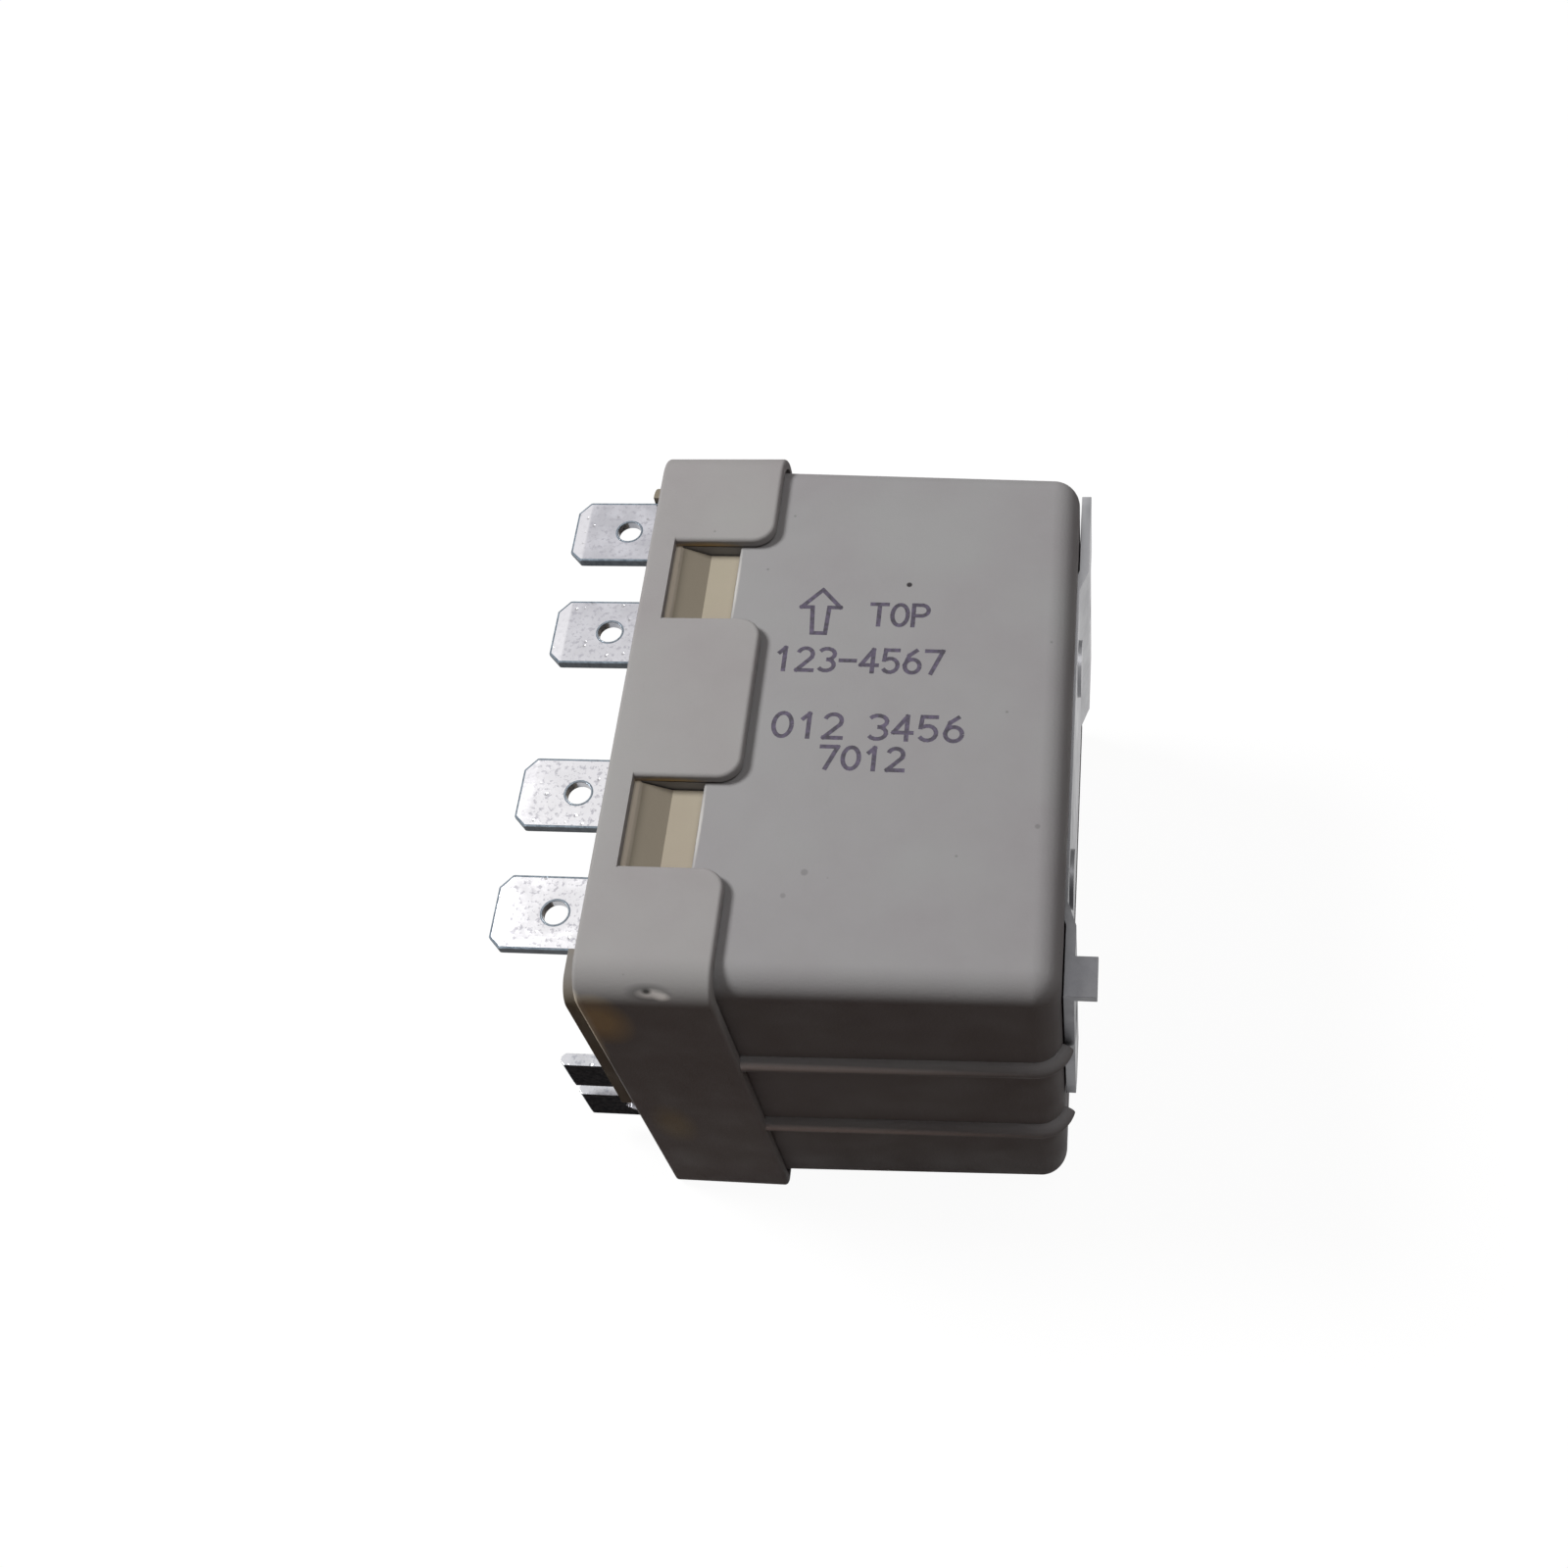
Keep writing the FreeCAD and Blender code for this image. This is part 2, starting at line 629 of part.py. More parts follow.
def make_carrier():
    """Cream inner moulding: flange under the cover, neck inside the housing, ramps in the windows."""
    body = new_body("terminal_carrier")
    face = new_sketch(body, "YZ_Plane", carrier_end)
    rounded_rectangle(face, -body_half, body_half, cover_step, body_top, housing_low_round, housing_side_round)
    pad(body, face, housing_mouth - carrier_end)
    neck_low = cover_height - neck_top
    drafted_block(body, "Additive", carrier_end, carrier_neck, neck_half, neck_low, neck_top)
    room = new_sketch(body, "YZ_Plane", carrier_end + carrier_plate)
    rectangle(room, carrier_wall - neck_half, neck_half - carrier_wall, neck_low + carrier_wall,
              neck_top - carrier_wall)
    pocket(body, room, carrier_neck - carrier_plate, backwards=True)

    for side in (-1, 1):
        ramp = new_sketch(body, "XZ_Plane", (window_inner + window_outer) / 2 * side)
        root = neck_top - carrier_wall / 2
        floor_end = notch_end - carrier_fit
        outline(ramp, [(housing_mouth, body_top), (housing_mouth, root), (floor_end, root),
                       (floor_end, body_top - window_depth), (ramp_end, body_top - window_depth)])
        root = neck_low + carrier_wall / 2
        outline(ramp, [(housing_mouth, cover_step), (ramp_end, cover_step + window_depth),
                       (floor_end, cover_step + window_depth), (floor_end, root), (housing_mouth, root)])
        pad(body, ramp, window_outer - window_inner - carrier_fit * 2, symmetric=True)

    bosses = new_sketch(body, "YZ_Plane", carrier_end)
    boss_top = cover_height - boss_drop
    reach = blade_width / 2 + boss_clear
    rectangle(bosses, -flange_edge, row_places[3] - reach, boss_low, boss_top)
    rectangle(bosses, row_places[0] + reach, flange_edge, boss_low, boss_top)
    raised = pad(body, bosses, boss_height, backwards=True)
    dress(body, "Fillet", raised, boss_round,
          lambda edge: along(edge, 0) and near(abs(middle(edge).y), flange_edge, 0.05)
          and middle(edge).z > middle_z.value and middle(edge).x < carrier_end.value)

    slot_low = blade_top - blade_thick - slot_fit
    mouths = new_sketch(body, "YZ_Plane", -boss_height)
    for place in row_places:
        reach = blade_width / 2 + slot_fit
        rectangle(mouths, place - reach, place + reach, slot_low, blade_top + slot_fit)
    pocket(body, mouths, boss_height + blade_inside + slot_fit, backwards=True)
    slots = new_sketch(body, "YZ_Plane", -boss_height)
    for place in row_places:
        reach = tail_width / 2 + slot_fit
        rectangle(slots, place - reach, place + reach, slot_low, blade_top + slot_fit)
    for place in low_blade_places:
        rectangle(slots, low_blade_y - low_blade_thick / 2 - slot_fit,
                  low_blade_y + low_blade_thick / 2 + slot_fit,
                  place - low_blade_height / 2 - slot_fit, place + low_blade_height / 2 + slot_fit)
    pocket(body, slots, carrier_neck + boss_height, backwards=True)
    return body


def make_upper_blade(number, place, tail_to):
    """Flat blade with chamfered corners, bevelled tip and locating hole, and its tail inside."""
    body = new_body(f"terminal_{number}")
    half = blade_width / 2
    tail = tail_width / 2
    flat = new_sketch(body, "XY_Plane", blade_top - blade_thick)
    outline(flat, [(-blade_reach, place - half + blade_corner), (blade_corner - blade_reach, place - half),
                   (blade_inside, place - half), (blade_inside, place - tail),
                   (tail_to, place - tail), (tail_to, place + tail),
                   (blade_inside, place + tail), (blade_inside, place + half),
                   (blade_corner - blade_reach, place + half), (-blade_reach, place + half - blade_corner)])
    ring(flat, blade_hole_back - blade_reach, place, blade_hole / 2)
    blade = pad(body, flat, blade_thick)
    dress(body, "Chamfer", blade, blade_bevel_depth,
          lambda edge: flat_bounds(edge, 0, -blade_reach) and along(edge, 1), second=blade_bevel)
    return body


def make_low_blade(number, place):
    """Upright blade of the lower pair, with its tip chamfered and a locating hole."""
    body = new_body(f"terminal_{number}")
    half = low_blade_height / 2
    side = new_sketch(body, "XZ_Plane", -low_blade_y)
    rectangle(side, -low_blade_reach, low_blade_inside, place - half, place + half)
    ring(side, blade_hole_back - low_blade_reach, place, blade_hole / 2)
    blade = pad(body, side, low_blade_thick, symmetric=True)
    dress(body, "Chamfer", blade, low_blade_chamfer,
          lambda edge: flat_bounds(edge, 0, -low_blade_reach) and along(edge, 2))
    return body


def make_terminals():
    outer_one, inner_one, inner_two, outer_two = row_places
    make_upper_blade(1, outer_one, yoke_back)
    body = make_upper_blade(2, inner_one, coil_x + post_half)
    leg = new_sketch(body, "XY_Plane", blade_top - blade_thick)
    rectangle(leg, low_blade_inside, coil_x + post_half, post_face - contact_thick - blade_thick, inner_one)
    pad(body, leg, blade_thick)
    post = new_sketch(body, "XZ_Plane", contact_thick - post_face)
    rectangle(post, coil_x - post_half, coil_x + post_half, post_low, blade_top)
    pad(body, post, blade_thick)
    make_upper_blade(3, inner_two, tail_end)
    make_upper_blade(4, outer_two, tail_end)
    for index, place in enumerate(low_blade_places):
        make_low_blade(5 + index, place)


def make_coil():
    """Turned bobbin, winding, tape and core on one axis along Y."""
    left = -coil_left
    inner_left = left + flange_thick
    inner_right = coil_right - flange_thick
    bobbin = new_body("bobbin")
    profile = new_sketch(bobbin, "YZ_Plane", coil_x, shift_y=coil_z)
    bore = core_radius + core_fit
    outline(profile, [(left, bore), (coil_right, bore), (coil_right, flange_radius),
                      (inner_right, flange_radius), (inner_right, tube_radius), (inner_left, tube_radius),
                      (inner_left, flange_radius), (left, flange_radius)])
    revolve(bobbin, profile)
    winding = new_body("winding")
    profile = new_sketch(winding, "YZ_Plane", coil_x, shift_y=coil_z)
    rectangle(profile, inner_left, inner_right, tube_radius, winding_radius)
    revolve(winding, profile)
    tape = new_body("winding_tape")
    profile = new_sketch(tape, "YZ_Plane", coil_x, shift_y=coil_z)
    rectangle(profile, inner_left, inner_right, winding_radius, winding_radius + tape_thick)
    revolve(tape, profile)
    core = new_body("core")
    profile = new_sketch(core, "YZ_Plane", coil_x, shift_y=coil_z)
    outline(profile, [(left - yoke_thick, 0.0), (pole_face, 0.0), (pole_face, pole_radius),
                      (coil_right, pole_radius), (coil_right, core_radius), (left - yoke_thick, core_radius)])
    revolve(core, profile)
    leads = blade_top - blade_thick
    for number, place in ((1, row_places[2]), (2, row_places[3])):
        wire = rod(f"coil_lead_{number}_wire", "Z", lead_radius, coil_z, leads - coil_z, x=lead_x, y=place)
        foot = rod(f"coil_lead_{number}_foot", "Z", lead_foot, leads - lead_radius, lead_radius,
                   x=lead_x, y=place)
        keep(fuse(f"coil_lead_{number}_joined", [wire, foot]), f"coil_lead_{number}")


def make_yoke():
    """Bent steel frame: upright behind the coil, arm over it, two hinge ears and a spring lug."""
    body = new_body("yoke")
    left = -coil_left - yoke_thick
    side = new_sketch(body, "YZ_Plane", yoke_front)
    outline(side, [(left, coil_z - flange_radius), (left + yoke_thick, coil_z - flange_radius),
                   (left + yoke_thick, yoke_top - yoke_thick), (arm_end, yoke_top - yoke_thick),
                   (arm_end, yoke_top), (left, yoke_top)])
    pad(body, side, yoke_back - yoke_front)
    front_ear = coil_x - armature_half - ear_gap
    back_ear = coil_x + armature_half + ear_gap
    for start in (front_ear - ear_thick, back_ear):
        ear = new_sketch(body, "YZ_Plane", start)
        rectangle(ear, arm_end - ear_reach, arm_end + ear_reach, yoke_top - yoke_thick, yoke_top + ear_height)
        pad(body, ear, ear_thick)
    bore = new_sketch(body, "YZ_Plane", yoke_front)
    ring(bore, pin_y, pin_z, pin_radius + pin_fit)
    pocket(body, bore, yoke_back - yoke_front, backwards=True)
    neck = new_sketch(body, "XZ_Plane", coil_left)
    ring(neck, coil_x, coil_z, core_radius)
    pocket(body, neck, yoke_thick + cut_over, backwards=True)
    lug = new_sketch(body, "XZ_Plane", lug_back)
    rectangle(lug, spring_x - lug_width / 2, spring_x + lug_width / 2, yoke_top - yoke_thick / 2,
              spring_z + lug_rise)
    pad(body, lug, lug_thick)
    return body


def make_armature():
    """Hinged iron plate with two knuckles on its pin and a lug for the spring."""
    body = new_body("armature")
    left = coil_x - armature_half
    plate = new_sketch(body, "XZ_Plane", -armature_face)
    low_gap = left + knuckle_length
    high_gap = coil_x + armature_half - knuckle_length
    outline(plate, [(left, armature_low), (coil_x + armature_half, armature_low),
                    (coil_x + armature_half, pin_z), (high_gap, pin_z), (high_gap, yoke_top - yoke_thick),
                    (low_gap, yoke_top - yoke_thick), (low_gap, pin_z), (left, pin_z)])
    pad(body, plate, armature_thick, backwards=True)
    for start in (left, high_gap):
        knuckle = new_sketch(body, "YZ_Plane", start)
        ring(knuckle, pin_y, pin_z, knuckle_radius)
        pad(body, knuckle, knuckle_length)
    bore = new_sketch(body, "YZ_Plane", left)
    ring(bore, pin_y, pin_z, pin_radius + pin_fit)
    pocket(body, bore, armature_half * 2, backwards=True)
    lug = new_sketch(body, "XZ_Plane", -lug_face)
    lug_foot = pin_z + pin_radius + pin_fit + lug_foot_gap
    rectangle(lug, spring_x - lug_width / 2, spring_x + lug_width / 2, lug_foot, spring_z + lug_rise)
    pad(body, lug, lug_thick, backwards=True)
    return body


def make_contacts():
    """Leaf with its contact and rivets on the armature, fixed contact on its post, hinge pin, strap."""
    leaf = new_body("contact_arm")
    face = new_sketch(leaf, "XZ_Plane", -leaf_face)
    outline(face, [(coil_x - leaf_half, leaf_low), (coil_x + leaf_half, leaf_low),
                   (coil_x + leaf_half, yoke_top), (coil_x + leaf_tip, leaf_top),
                   (coil_x - leaf_tip, leaf_top), (coil_x - leaf_half, yoke_top)])
    pad(leaf, face, leaf_thick, backwards=True)
    rivets = []
    for index in range(2):
        height = leaf_low + leaf_rivet_inset + leaf_rivet_pitch * index
        rivets.append(rod(f"leaf_rivet_{index}", "Y", leaf_rivet_radius, leaf_face + leaf_thick,
                          leaf_rivet_head, x=coil_x, z=height))
    heads = doc.addObject("Part::Compound", "leaf_rivet_pair")
    heads.Links = rivets
    keep(heads, "contact_arm_rivets")
    keep(rod("moving_button", "Y", contact_radius, leaf_face - contact_thick, contact_thick,
             x=coil_x, z=contact_z), "moving_contact", coil_x)
    keep(rod("fixed_button", "Y", contact_radius, post_face - contact_thick, contact_thick,
             x=coil_x, z=contact_z), "fixed_contact", coil_x)
    pin_half = armature_half + ear_gap + ear_thick + pin_end
    keep(rod("hinge_rod", "X", pin_radius, coil_x - pin_half, pin_half * 2, y=pin_y, z=pin_z), "hinge_pin",
         coil_x - pin_half)
    strap = new_body("frame_strap")
    side = new_sketch(strap, "YZ_Plane", yoke_back - strap_width)
    drop = row_places[0] - tail_width / 2
    foot = yoke_top + strap_thick
    ceiling = blade_top - blade_thick
    strap_foot = arm_end - ear_reach
    outline(side, [(strap_foot, yoke_top), (drop + strap_thick, yoke_top),
                   (drop + strap_thick, ceiling - strap_thick), (drop + tail_width, ceiling - strap_thick),
                   (drop + tail_width, ceiling), (drop, ceiling), (drop, foot), (strap_foot, foot)])
    pad(strap, side, strap_width)


def make_spring():
    """Tension spring between the yoke's lug and the armature's lug, drawn as a square-wire helix."""
    start = -lug_back + spring_end_gap + spring_wire
    length = lug_face - spring_end_gap - spring_wire - start
    radius = spring_radius.value
    turns = spring_turns.value
    coil = Part.makeHelix(length.value / turns, length.value, radius)
    half = spring_wire.value
    corners = [FreeCAD.Vector(radius + a * half, 0, b * half) for a, b in ((-1, -1), (1, -1), (1, 1), (-1, 1))]
    section = Part.makePolygon(corners + corners[:1])
    shape = Part.Wire(coil.Edges).makePipeShell([section], True, True)
    spring = doc.addObject("Part::Feature", "return_spring_wire")
    lie = FreeCAD.Placement(FreeCAD.Vector(spring_x.value, start.value, spring_z.value),
                            FreeCAD.Rotation(FreeCAD.Vector(1, 0, 0), -90))
    shape.Placement = lie
    spring.Shape = shape
    keep(spring, "return_spring", spring_x)


def make_plate():
    """Steel mounting plate let into the back, its ends kicked out, with a hook at the near end."""
    body = new_body("mounting_plate")
    lift = new_sketch(body, "XY_Plane", plate_low)
    outline(lift, [(plate_inner, -plate_half), (plate_inner, plate_half),
                   (kick_inner, plate_half + plate_slant), (kick_inner, plate_far_end),
                   (kick_outer, plate_far_end), (kick_outer, plate_half + plate_slant),
                   (plate_outer, plate_half), (plate_outer, -plate_half),
                   (kick_outer, -plate_half - plate_slant), (kick_outer, -plate_near_end),
                   (kick_inner, -plate_near_end), (kick_inner, -plate_half - plate_slant)])
    sheet_metal = pad(body, lift, plate_top - plate_low)
    dress(body, "Chamfer", sheet_metal, plate_cut,
          lambda edge: along(edge, 0) and near(middle(edge).z, plate_low)
          and near(middle(edge).y, -plate_near_end))
    hook = new_sketch(body, "XY_Plane", plate_top - plate_thick)
    rectangle(hook, kick_inner, overall_end, -plate_near_end, hook_width - plate_near_end)
    pad(body, hook, plate_thick)
    room = new_sketch(body, "YZ_Plane", plate_inner)
    rectangle(room, plate_near_end, plate_far_end + cut_over, plate_low - cut_over, plate_top - plate_ear)
    pocket(body, room, plate_thick + plate_kick + cut_over, backwards=True)
    holes = new_sketch(body, "YZ_Plane", plate_inner)
    for side in (-1, 1):
        ring(holes, screw_place * side, screw_height, screw_radius)
        ring(holes, rivet_place * side, rivet_height, rivet_radius + rivet_fit)
    pocket(body, holes, plate_thick + plate_kick + cut_over, backwards=True)

    solids = []
    for index, side in enumerate((-1, 1)):
        place = rivet_place * side
        shank = rod(f"rivet_shank_{index}", "X", rivet_radius, wall_inside - rivet_head_thick,
                    plate_outer + rivet_face_thick - wall_inside + rivet_head_thick, y=place, z=rivet_height)
        head = rod(f"rivet_head_{index}", "X", rivet_head, plate_outer, rivet_face_thick, y=place, z=rivet_height)
        tail = rod(f"rivet_tail_{index}", "X", rivet_head, wall_inside - rivet_head_thick, rivet_head_thick,
                   y=place, z=rivet_height)
        solids.append(fuse(f"rivet_{index}", [shank, head, tail]))
    pair = doc.addObject("Part::Compound", "rivet_pair")
    pair.Links = solids
    keep(pair, "mounting_rivets")


def check(thing):
    """Stop on a feature that failed or a sub-part whose shape is empty or broken."""
    if "Invalid" in thing.State or "Error" in thing.State:
        raise RuntimeError(f"{thing.Name} failed: {thing.State}")


def main():
    make_housing()
    make_cover()
    make_carrier()
    make_terminals()
    make_coil()
    make_yoke()
    make_armature()
    make_contacts()
    make_spring()
    make_plate()
    doc.recompute()
    for thing in doc.Objects:
        check(thing)
    os.makedirs("parts", exist_ok=True)
    for node in NODES:
        shape = node.Shape
        if shape.isNull() or not shape.isValid():
            raise RuntimeError(f"{node.Label} has no valid shape")
    for node in NODES:
        node.Shape.exportStep(f"parts/{node.Label}.step")
        limits = node.Shape.BoundBox
        print(f"{node.Label:20s} solids {len(node.Shape.Solids)} volume {node.Shape.Volume:9.2f}",
              f"X {limits.XMin:.2f}..{limits.XMax:.2f} Y {limits.YMin:.2f}..{limits.YMax:.2f}",
              f"Z {limits.ZMin:.2f}..{limits.ZMax:.2f}")


main()
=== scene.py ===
"""Looks of the compressor start relay, laid out as a small add-on and run as a script."""

import json
import math

import bmesh
import bpy
from mathutils import Euler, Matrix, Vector
from mathutils.bvhtree import BVHTree


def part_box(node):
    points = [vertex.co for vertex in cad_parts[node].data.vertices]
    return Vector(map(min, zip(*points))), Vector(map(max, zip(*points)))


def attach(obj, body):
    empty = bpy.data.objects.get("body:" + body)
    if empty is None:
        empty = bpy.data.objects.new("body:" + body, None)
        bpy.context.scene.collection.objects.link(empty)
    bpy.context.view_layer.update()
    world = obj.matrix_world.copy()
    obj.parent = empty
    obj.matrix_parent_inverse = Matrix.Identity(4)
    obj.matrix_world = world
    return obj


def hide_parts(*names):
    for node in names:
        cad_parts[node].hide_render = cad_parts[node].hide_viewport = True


bl_info = {
    "name": "Start Relay Dressing",
    "version": (1, 0, 0),
    "blender": (4, 5, 0),
    "location": "View3D > Sidebar > Start Relay",
    "description": "Dresses the solids of a compressor start relay with plated, moulded and inked looks",
    "category": "Object",
}

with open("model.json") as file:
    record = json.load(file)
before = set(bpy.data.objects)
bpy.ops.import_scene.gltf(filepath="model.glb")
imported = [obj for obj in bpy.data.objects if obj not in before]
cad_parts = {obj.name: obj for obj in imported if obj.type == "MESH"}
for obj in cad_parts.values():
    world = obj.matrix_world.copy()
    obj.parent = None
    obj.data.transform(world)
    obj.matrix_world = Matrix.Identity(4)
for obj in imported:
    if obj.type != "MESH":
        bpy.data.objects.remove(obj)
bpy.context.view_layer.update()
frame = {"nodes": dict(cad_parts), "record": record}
MM = 0.001
RELAY = "relay"

# Blades: how many, how many of them lie flat, the tip's bevel and how gently the painted highlight on it
# ends, the punched hole, how far it lies behind the tip and how far its wall is looked for, the rim, the
# ring of the burr and its sunk share, and from where to where along Y the tin grows lighter
BLADES = 6
FLAT_BLADES = 4
BEVEL_LENGTH = 1.2 * MM
BEVEL_BLUR = 0.1 * MM
HOLE_RADIUS = 1.0 * MM
HOLE_BACK = 4.9 * MM
HOLE_WALL = 1.1 * HOLE_RADIUS
RIM_WIDTH = 0.19 * MM
BURR_SIDES = 8
BURR_STEPS = 36
BURR_SUNK = 0.45
TIN_DARKER_AT = 14.0 * MM
TIN_LIGHTER_AT = -8.0 * MM

# Blades: name of the face attribute for bare cut metal and for painted dark shade and reflection on the
# upright blades' broad sides, and how bare each place is
BARE_AND_SHADED = "bare_and_shaded"
RIM_SHARE = 0.95
SIDE_SHARE = 0.82
HOLE_SHARE = 0.30
TOP_SHARE = 0.30

# Carrier and housing: where the ramps end and the painted shade on them stops, where the windows and the
# bead crests lie.
# Plate: from where to where along Y painted light makes it lighter, and how much
RAMP_END = -9.97 * MM
RAMP_BLUR = 0.02 * MM
WINDOW_MIDDLES = (11.4, -11.4)
BEAD_CRESTS = (14.55, 27.75)
PLATE_PAINTED_LIGHT = (-14.0 * MM, 12.0 * MM, 2.4)

# Meshes: softer edge and sharp angle of the carrier, reach of a weld, angle of flat neighbours
# and of the edges that a bevel takes, and how far a normal leans the way that its face is facing
CARRIER_SHARE = 0.6
RAMP_ANGLE = 14.0
WELD = 1e-7
CAD_WELD = 2e-6
FLAT_ANGLE = math.radians(0.6)
BEVEL_ANGLE = math.radians(35.0)
FACING = 0.5


def box_of(node):
    """Low and high corner of a CAD node."""
    low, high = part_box(node)
    return Vector(low), Vector(high)


# Settings
class RelayColours(bpy.types.PropertyGroup):
    """Colours of the finishes, as linear values."""
    housing: bpy.props.FloatVectorProperty(
        name="Housing", description="Colour of the housing's phenolic moulding", subtype="COLOR", size=3,
        min=0.0, max=1.0, default=(0.277, 0.275, 0.280))
    cover: bpy.props.FloatVectorProperty(
        name="Cover", description="Colour of the terminal cover's moulding", subtype="COLOR", size=3,
        min=0.0, max=1.0, default=(0.298, 0.292, 0.292))
    carrier: bpy.props.FloatVectorProperty(
        name="Carrier", description="Colour of the cream inner moulding", subtype="COLOR", size=3,
        min=0.0, max=1.0, default=(0.335, 0.300, 0.238))
    tin: bpy.props.FloatVectorProperty(
        name="Tin", description="Colour of the tin plating on the blades", subtype="COLOR", size=3,
        min=0.0, max=1.0, default=(0.56, 0.555, 0.595))
    zinc: bpy.props.FloatVectorProperty(
        name="Zinc", description="Colour of the zinc plating on plate, yoke and rivets", subtype="COLOR",
        size=3, min=0.0, max=1.0, default=(0.130, 0.130, 0.135))
    ink: bpy.props.FloatVectorProperty(
        name="Ink", description="Colour of the printed mark", subtype="COLOR", size=3,
        min=0.0, max=1.0, default=(0.040, 0.036, 0.047))
    floor: bpy.props.FloatProperty(
        name="Floor", description="Share of the floor's paleness that keeps the shadow", subtype="FACTOR",
        min=0.0, max=1.0, default=0.06)


class RelaySizes(bpy.types.PropertyGroup):
    """Sizes of the details that the dressing adds."""
    moulded_edge: bpy.props.FloatProperty(
        name="Moulded edge", description="Width of the soft edge on the mouldings", unit="LENGTH",
        min=0.0, default=0.22 * MM, precision=5)
    sheet_edge: bpy.props.FloatProperty(
        name="Sheet edge", description="Width of the worn edge on blades and plate", unit="LENGTH",
        min=0.0, default=0.07 * MM, precision=5)
    line_width: bpy.props.FloatProperty(
        name="Line width", description="Width of the printed lines", unit="LENGTH",
        min=0.0, default=0.36 * MM, precision=5)
    ink_height: bpy.props.FloatProperty(
        name="Ink height", description="How far the ink stands off the face", unit="LENGTH",
        min=0.0, default=0.004 * MM, precision=6)
    burr: bpy.props.FloatProperty(
        name="Burr", description="Height of the punching burr round the blade holes", unit="LENGTH",
        min=0.0, default=0.07 * MM, precision=5)


# Tints of the marks on the mouldings, as linear colours: specks, stains and blemishes, and painted
# highlights, shadows, shade and reflections
SPECK = (0.030, 0.026, 0.030)
# Painted warm reflection on the cover's wall, strong and faint
WARM_REFLECTION = (0.82, 0.64, 0.34)
FAINT_WARM_REFLECTION = (0.60, 0.52, 0.30)
# Painted warm shade band under the cover's tongues
WARM_SHADE_UNDER_TONGUE = (0.60, 0.40, 0.14)
# Painted highlight along the cover's rim
RIM_HIGHLIGHT = (0.90, 0.82, 0.66)
GATE_RING = (0.09, 0.09, 0.09)
GATE_SCAR = (0.62, 0.60, 0.58)
GATE_PIT = (0.05, 0.05, 0.05)
GATE_CHIP = (0.80, 0.78, 0.75)
GREYED = (0.22, 0.21, 0.20)
# Painted shadow at the foot of the housing's notch step
NOTCH_FOOT_SHADOW = (0.13, 0.12, 0.09)
# Painted highlight along the top edge of the ramps
RAMP_RIM_HIGHLIGHT = (0.80, 0.72, 0.60)
BEAD_MARK = (0.03, 0.03, 0.03)
# Painted highlight on the notches' rounded edges
NOTCH_EDGE_HIGHLIGHT = (0.52, 0.51, 0.49)
# Painted highlight on the upper flank of the beads
CREST_HIGHLIGHT = (0.72, 0.67, 0.65)


